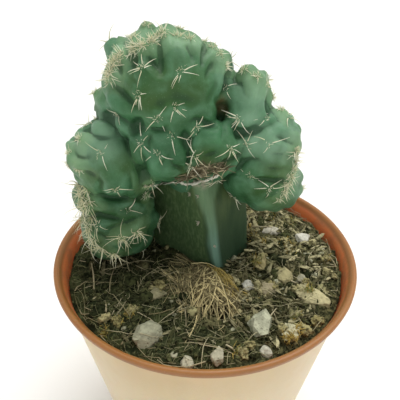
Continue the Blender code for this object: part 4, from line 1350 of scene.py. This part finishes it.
for course in WISPS:
    for _ in range(9):
        dx, dy, lift = draw.gauss(0, 2.0), draw.gauss(0, 1.6), draw.uniform(0.2, 1.6) * MM
        line = []
        for x, y in drawn_points(course, (0, 0.34, 0.67)):
            x, y = x + dx + draw.gauss(0, 0.25), y + dy + draw.gauss(0, 0.25)
            hit = seen_at(x, y, (bed_tree, core_tree))[0]
            if hit:
                line.append(hit - photo_ray(x, y) * (lift + draw.uniform(0, 0.2) * MM))
        on_stem = [stem_tree.find_nearest(point) for point in line]
        if len(line) > 6 and all(
            (point - near).dot(out) > 0.3 * MM
            for point, (near, out, _, gap) in zip(line, on_stem) if gap < 5 * MM
        ):
            mat_lines.append((line, draw.uniform(0.09, 0.2) * MM, 0.5))
strands(mat_lines, "root_mat",
        two_tone("dry_roots", (0.022, 0.017, 0.006), (1.0, 0.85, 0.44), 0.8, few_pale=1.9),
        54)
strands(golden_lines, "root_mat_golden",
        two_tone("golden_roots", (0.20, 0.15, 0.035), (0.80, 0.62, 0.20), 0.8), 55)


# ---------------------------------------------------------------------------------------------
# Stones: pumice, perlite, gravel and a flake of bark that lie half sunk in the mix. Broken faces
# with worn edges, and a porous, dusty surface.
# ---------------------------------------------------------------------------------------------
# Each stone: name, place on the mix, length, width and height (mm), turn (degrees) and colour
STONES = (
    ("stone_front_left", (-17.1, -35.2), (9.2, 10.4, 8.2), 20, (0.39, 0.39, 0.27)),
    ("stone_front_right", (17, -32), (9.2, 8, 7), 65, (0.52, 0.53, 0.38)),
    ("stone_right_tan", (27.1, -10.7), (6.8, 6.4, 6), 10, (0.48, 0.43, 0.23)),
    ("stone_right_round", (20.8, -17), (6.4, 5.8, 5), 40, (0.46, 0.40, 0.25)),
    ("stone_by_stem", (19.8, -4.8), (6.6, 5.4, 5), 75, (0.42, 0.36, 0.18)),
    ("stone_bark_flake", (35.2, -19.3), (13.2, 7.6, 4.6), -35, (0.56, 0.51, 0.29)),
    ("stone_right_grey", (33, -11.3), (4.6, 4, 3.8), 30, (0.44, 0.42, 0.30)),
    ("stone_far_right_white", (37.4, 10.4), (6, 5, 5.2), 25, (0.70, 0.68, 0.58)),
    ("stone_far_right_flat", (25.7, 15.7), (8.2, 5.2, 4.2), 5, (0.58, 0.55, 0.44)),
    ("stone_front_edge", (4, -43.6), (4, 5, 4.2), 15, (0.58, 0.55, 0.40)),
    ("stone_front_edge_left", (-4.6, -44.4), (4, 3.8, 3.4), 60, (0.60, 0.57, 0.42)),
    ("stone_front_low", (18, -41), (3.4, 3.8, 3.4), 35, (0.62, 0.60, 0.48)),
    ("stone_small_white", (14.4, -16), (3.6, 3.8, 4.4), 20, (0.62, 0.61, 0.52)),
    ("stone_perlite", (26, -34.6), (6.6, 5.8, 4.2), 50, (0.62, 0.59, 0.38)),
    ("stone_left_tan", (-15.8, -18.5), (6, 5.2, 4.4), 45, (0.40, 0.37, 0.22)),
    ("stone_back_left", (-31, 22), (7.6, 6, 5.4), 70, (0.50, 0.48, 0.36)),
    ("stone_back", (4, 39), (6.4, 5.2, 4.8), 20, (0.46, 0.42, 0.30)),
)
# Share of the half height at which a stone's middle stands over the mix
STONE_RAISED = 0.3
CHIPS, WORN_EDGE, PIT_DEPTH, PIT_SIZE, SMALLEST_FACE = 5, 0.05, 0.2, 1.2, 0.38


def stone_coat(name, colour):
    coat = Coat(name)
    dark = tuple(0.64 * part for part in colour)
    light = tuple(1.04 * part for part in colour)
    # The pores are painted darker, a painted shade in the pits.
    pores = coat.cells(0.001).between(0.40, 0.12) * coat.noise(0.004, 3).between(0.38, 0.55)
    grain = coat.noise(0.0022, 5)
    tone = coat.mix(grain.between(0.3, 0.68), dark, light)
    dirt = coat.noise(0.0035, 4).between(0.58, 0.74) * 0.4
    tone = coat.mix(dirt, tone, (0.16, 0.14, 0.08))
    return coat.finish(
        Base_Color=coat.mix(pores * 0.5, tone, dark),
        Roughness=0.92,
        Normal=coat.relief(grain - pores * 0.5, 0.0004),
        Specular_IOR_Level=0.2,
    )


def broken_block(draw, size):
    """A block of this size, with the flat faces between points knocked out of a ball."""
    bm = bmesh.new()
    bmesh.ops.create_icosphere(bm, subdivisions=1, radius=1)
    for vert in bm.verts:
        nudge = any_way(draw)
        vert.co = vert.co * draw.uniform(0.82, 1.12) + nudge * 0.13
    bmesh.ops.delete(bm, geom=bm.edges[:] + bm.faces[:], context="EDGES_FACES")
    hull = bmesh.ops.convex_hull(bm, input=bm.verts)
    unused = {part for part in hull["geom_interior"] + hull["geom_unused"] if part.is_valid}
    loose = [part for part in unused if isinstance(part, bmesh.types.BMVert)]
    bmesh.ops.delete(bm, geom=loose, context="VERTS")
    low, high = (
        Vector([pick(vert.co[k] for vert in bm.verts) for k in range(3)]) for pick in (min, max)
    )
    bmesh.ops.translate(bm, vec=(low + high) / -2, verts=bm.verts)
    bmesh.ops.scale(
        bm, vec=[side * MM / (b - a) for side, a, b in zip(size, low, high)], verts=bm.verts
    )
    return bm


def knock_off_chips(bm, draw):
    """Breaks flat chips off: the first leaves a broad face on top that leans to the front."""
    for chip in range(CHIPS):
        way = Vector((draw.gauss(0, 1), draw.gauss(0, 1), draw.uniform(0, 1.4))).normalized()
        if chip == 0:
            way = Vector((draw.uniform(-0.2, 0.2), draw.uniform(-0.7, -0.1), 1)).normalized()
        reach = max(vert.co.dot(way) for vert in bm.verts)
        slice_off(bm, way * reach * (0.66 if chip == 0 else draw.uniform(0.74, 0.9)), way)


def weather(bm, smallest):
    """Rounds the edges of a block, and pits its faces."""
    bmesh.ops.dissolve_limit(
        bm, angle_limit=math.radians(14), verts=bm.verts, edges=bm.edges,
        use_dissolve_boundaries=False,
    )
    bmesh.ops.bevel(
        bm, geom=bm.edges[:], offset=WORN_EDGE * smallest * MM, segments=2, affect="EDGES",
        profile=0.5, material=-1, clamp_overlap=True,
    )
    bmesh.ops.remove_doubles(bm, verts=bm.verts, dist=0.01 * MM)
    bmesh.ops.triangulate(bm, faces=bm.faces)
    for _ in range(3):
        long = [edge for edge in bm.edges if edge.calc_length() > SMALLEST_FACE * MM]
        bmesh.ops.subdivide_edges(bm, edges=long, cuts=1)
        bmesh.ops.triangulate(bm, faces=bm.faces)
    bm.normal_update()
    pits = [noise.fractal(vert.co / (PIT_SIZE * MM), 0.8, 2.0, 4) for vert in bm.verts]
    for vert, pit in zip(bm.verts, pits):
        vert.co += vert.normal * (PIT_DEPTH * pit + 0.1) * MM


for name, (x, y), size, turn, colour in STONES:
    x, y, draw = x * MM, y * MM, random.Random(name)
    bm = broken_block(draw, size)
    bmesh.ops.rotate(bm, matrix=Matrix.Rotation(math.radians(turn), 3, "Z"), verts=bm.verts)
    knock_off_chips(bm, draw)
    weather(bm, min(size))
    z = soil_height(x, y) + size[2] * MM / 2 * STONE_RAISED
    bmesh.ops.translate(bm, vec=(x, y, z), verts=bm.verts)
    bmesh.ops.recalc_face_normals(bm, faces=bm.faces)
    add_piece(bm, name + "_worn", stone_coat(name + "_coat", colour), [name])


# ---------------------------------------------------------------------------------------------
# Moss: golden and green scraps of dead moss, grown fast to the mix and to three of the stones.
# They stand in loose tufts of curled stems, thickest on the right.
# ---------------------------------------------------------------------------------------------
# Tufts: place and spread in the photograph. Some of those after the first few are green.
MOSS = (
    (249, 230, 7), (256, 237, 6), (262, 242, 5), (283, 243, 6), (292, 250, 5), (301, 330, 7),
    (290, 338, 6), (255, 262, 7), (326, 258, 5), (238, 352, 6), (104, 334, 6), (118, 322, 5),
    (131, 315, 5), (310, 288, 5), (296, 318, 5), (272, 216, 6), (290, 222, 6),
)
ALL_GOLDEN, MOSSY_STONES = 7, ("stone_by_stem", "stone_perlite", "stone_bark_flake")
draw = random.Random(61)
golden_moss, green_moss = [], []
ground = [bed_tree, *(tree_of(bpy.data.objects[name + "_worn"]) for name in MOSSY_STONES)]
for tuft, (x, y, spread) in enumerate(MOSS):
    for _ in range(60):
        hit, normal = seen_at(
            x + draw.gauss(0, spread * 0.5), y + draw.gauss(0, spread * 0.4), ground
        )
        if hit and math.hypot(hit.x, hit.y) < (BED_REACH - 0.5) * MM:
            flat = Vector((draw.gauss(0, 1), draw.gauss(0, 1), draw.uniform(0, 0.5)))
            line = wander(draw, hit, flat + normal * 0.6, draw.uniform(1, 2.8) * MM, 2.2, 5)
            if off_stem(line, 0.3):
                green = tuft >= ALL_GOLDEN and draw.random() < 0.6
                goal = green_moss if green else golden_moss
                goal.append((line, draw.uniform(0.09, 0.17) * MM, 0.4))
strands(golden_moss, "mix_golden_moss",
        two_tone("golden_moss", (0.24, 0.16, 0.03), (0.66, 0.50, 0.14), 0.9), 62)
strands(green_moss, "mix_green_moss",
        two_tone("green_moss", (0.12, 0.14, 0.035), (0.42, 0.44, 0.16), 0.9), 63)


# ---------------------------------------------------------------------------------------------
# Studio: a wide pale floor under a bright even sky that is brightest low down, with a broad soft
# light from high above.
# ---------------------------------------------------------------------------------------------
FLOOR_WHITE, SKY_COLOUR, SUN_COLOUR = (0.96, 0.96, 0.95), (1, 0.995, 0.98, 1), (1, 0.99, 0.96)
# The sky fades between these heights, and from this strength to that
SKY_FADE = {"From Min": 0.05, "From Max": 0.3, "To Min": 1.0, "To Max": 0.52}
SUN_STRENGTH, SUN_SPREAD, SUN_WAY = 2.3, 50, (-0.22, -0.2, -0.95)

bm = bmesh.new()
bmesh.ops.create_grid(bm, x_segments=1, y_segments=1, size=40)
floor = put_in_scene("floor", mesh_from(bm, "floor"))
floor.data.materials.append(Coat("floor_white").finish(Base_Color=FLOOR_WHITE, Roughness=0.9))
floor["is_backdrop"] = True

world = bpy.data.worlds.new("studio")
world.use_nodes = True
sky = world.node_tree
sky.nodes["Background"].inputs["Color"].default_value = SKY_COLOUR
looked_at = sky.nodes.new("ShaderNodeTexCoord")
split = sky.nodes.new("ShaderNodeSeparateXYZ")
fade = sky.nodes.new("ShaderNodeMapRange")
for socket, value in SKY_FADE.items():
    fade.inputs[socket].default_value = value
sky.links.new(looked_at.outputs["Generated"], split.inputs[0])
sky.links.new(split.outputs["Z"], fade.inputs["Value"])
sky.links.new(fade.outputs["Result"], sky.nodes["Background"].inputs["Strength"])
bpy.context.scene.world = world
light = bpy.data.lights.new("skylight", "SUN")
light.energy, light.angle, light.color = SUN_STRENGTH, math.radians(SUN_SPREAD), SUN_COLOUR
lamp = put_in_scene("skylight", light)
lamp.rotation_euler = Vector(SUN_WAY).to_track_quat("-Z", "Y").to_euler()
bpy.context.scene.view_settings.view_transform = "Standard"

size = {"cad": [list(cad_low), list(cad_high)], "visual": [list(corner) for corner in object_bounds()]}
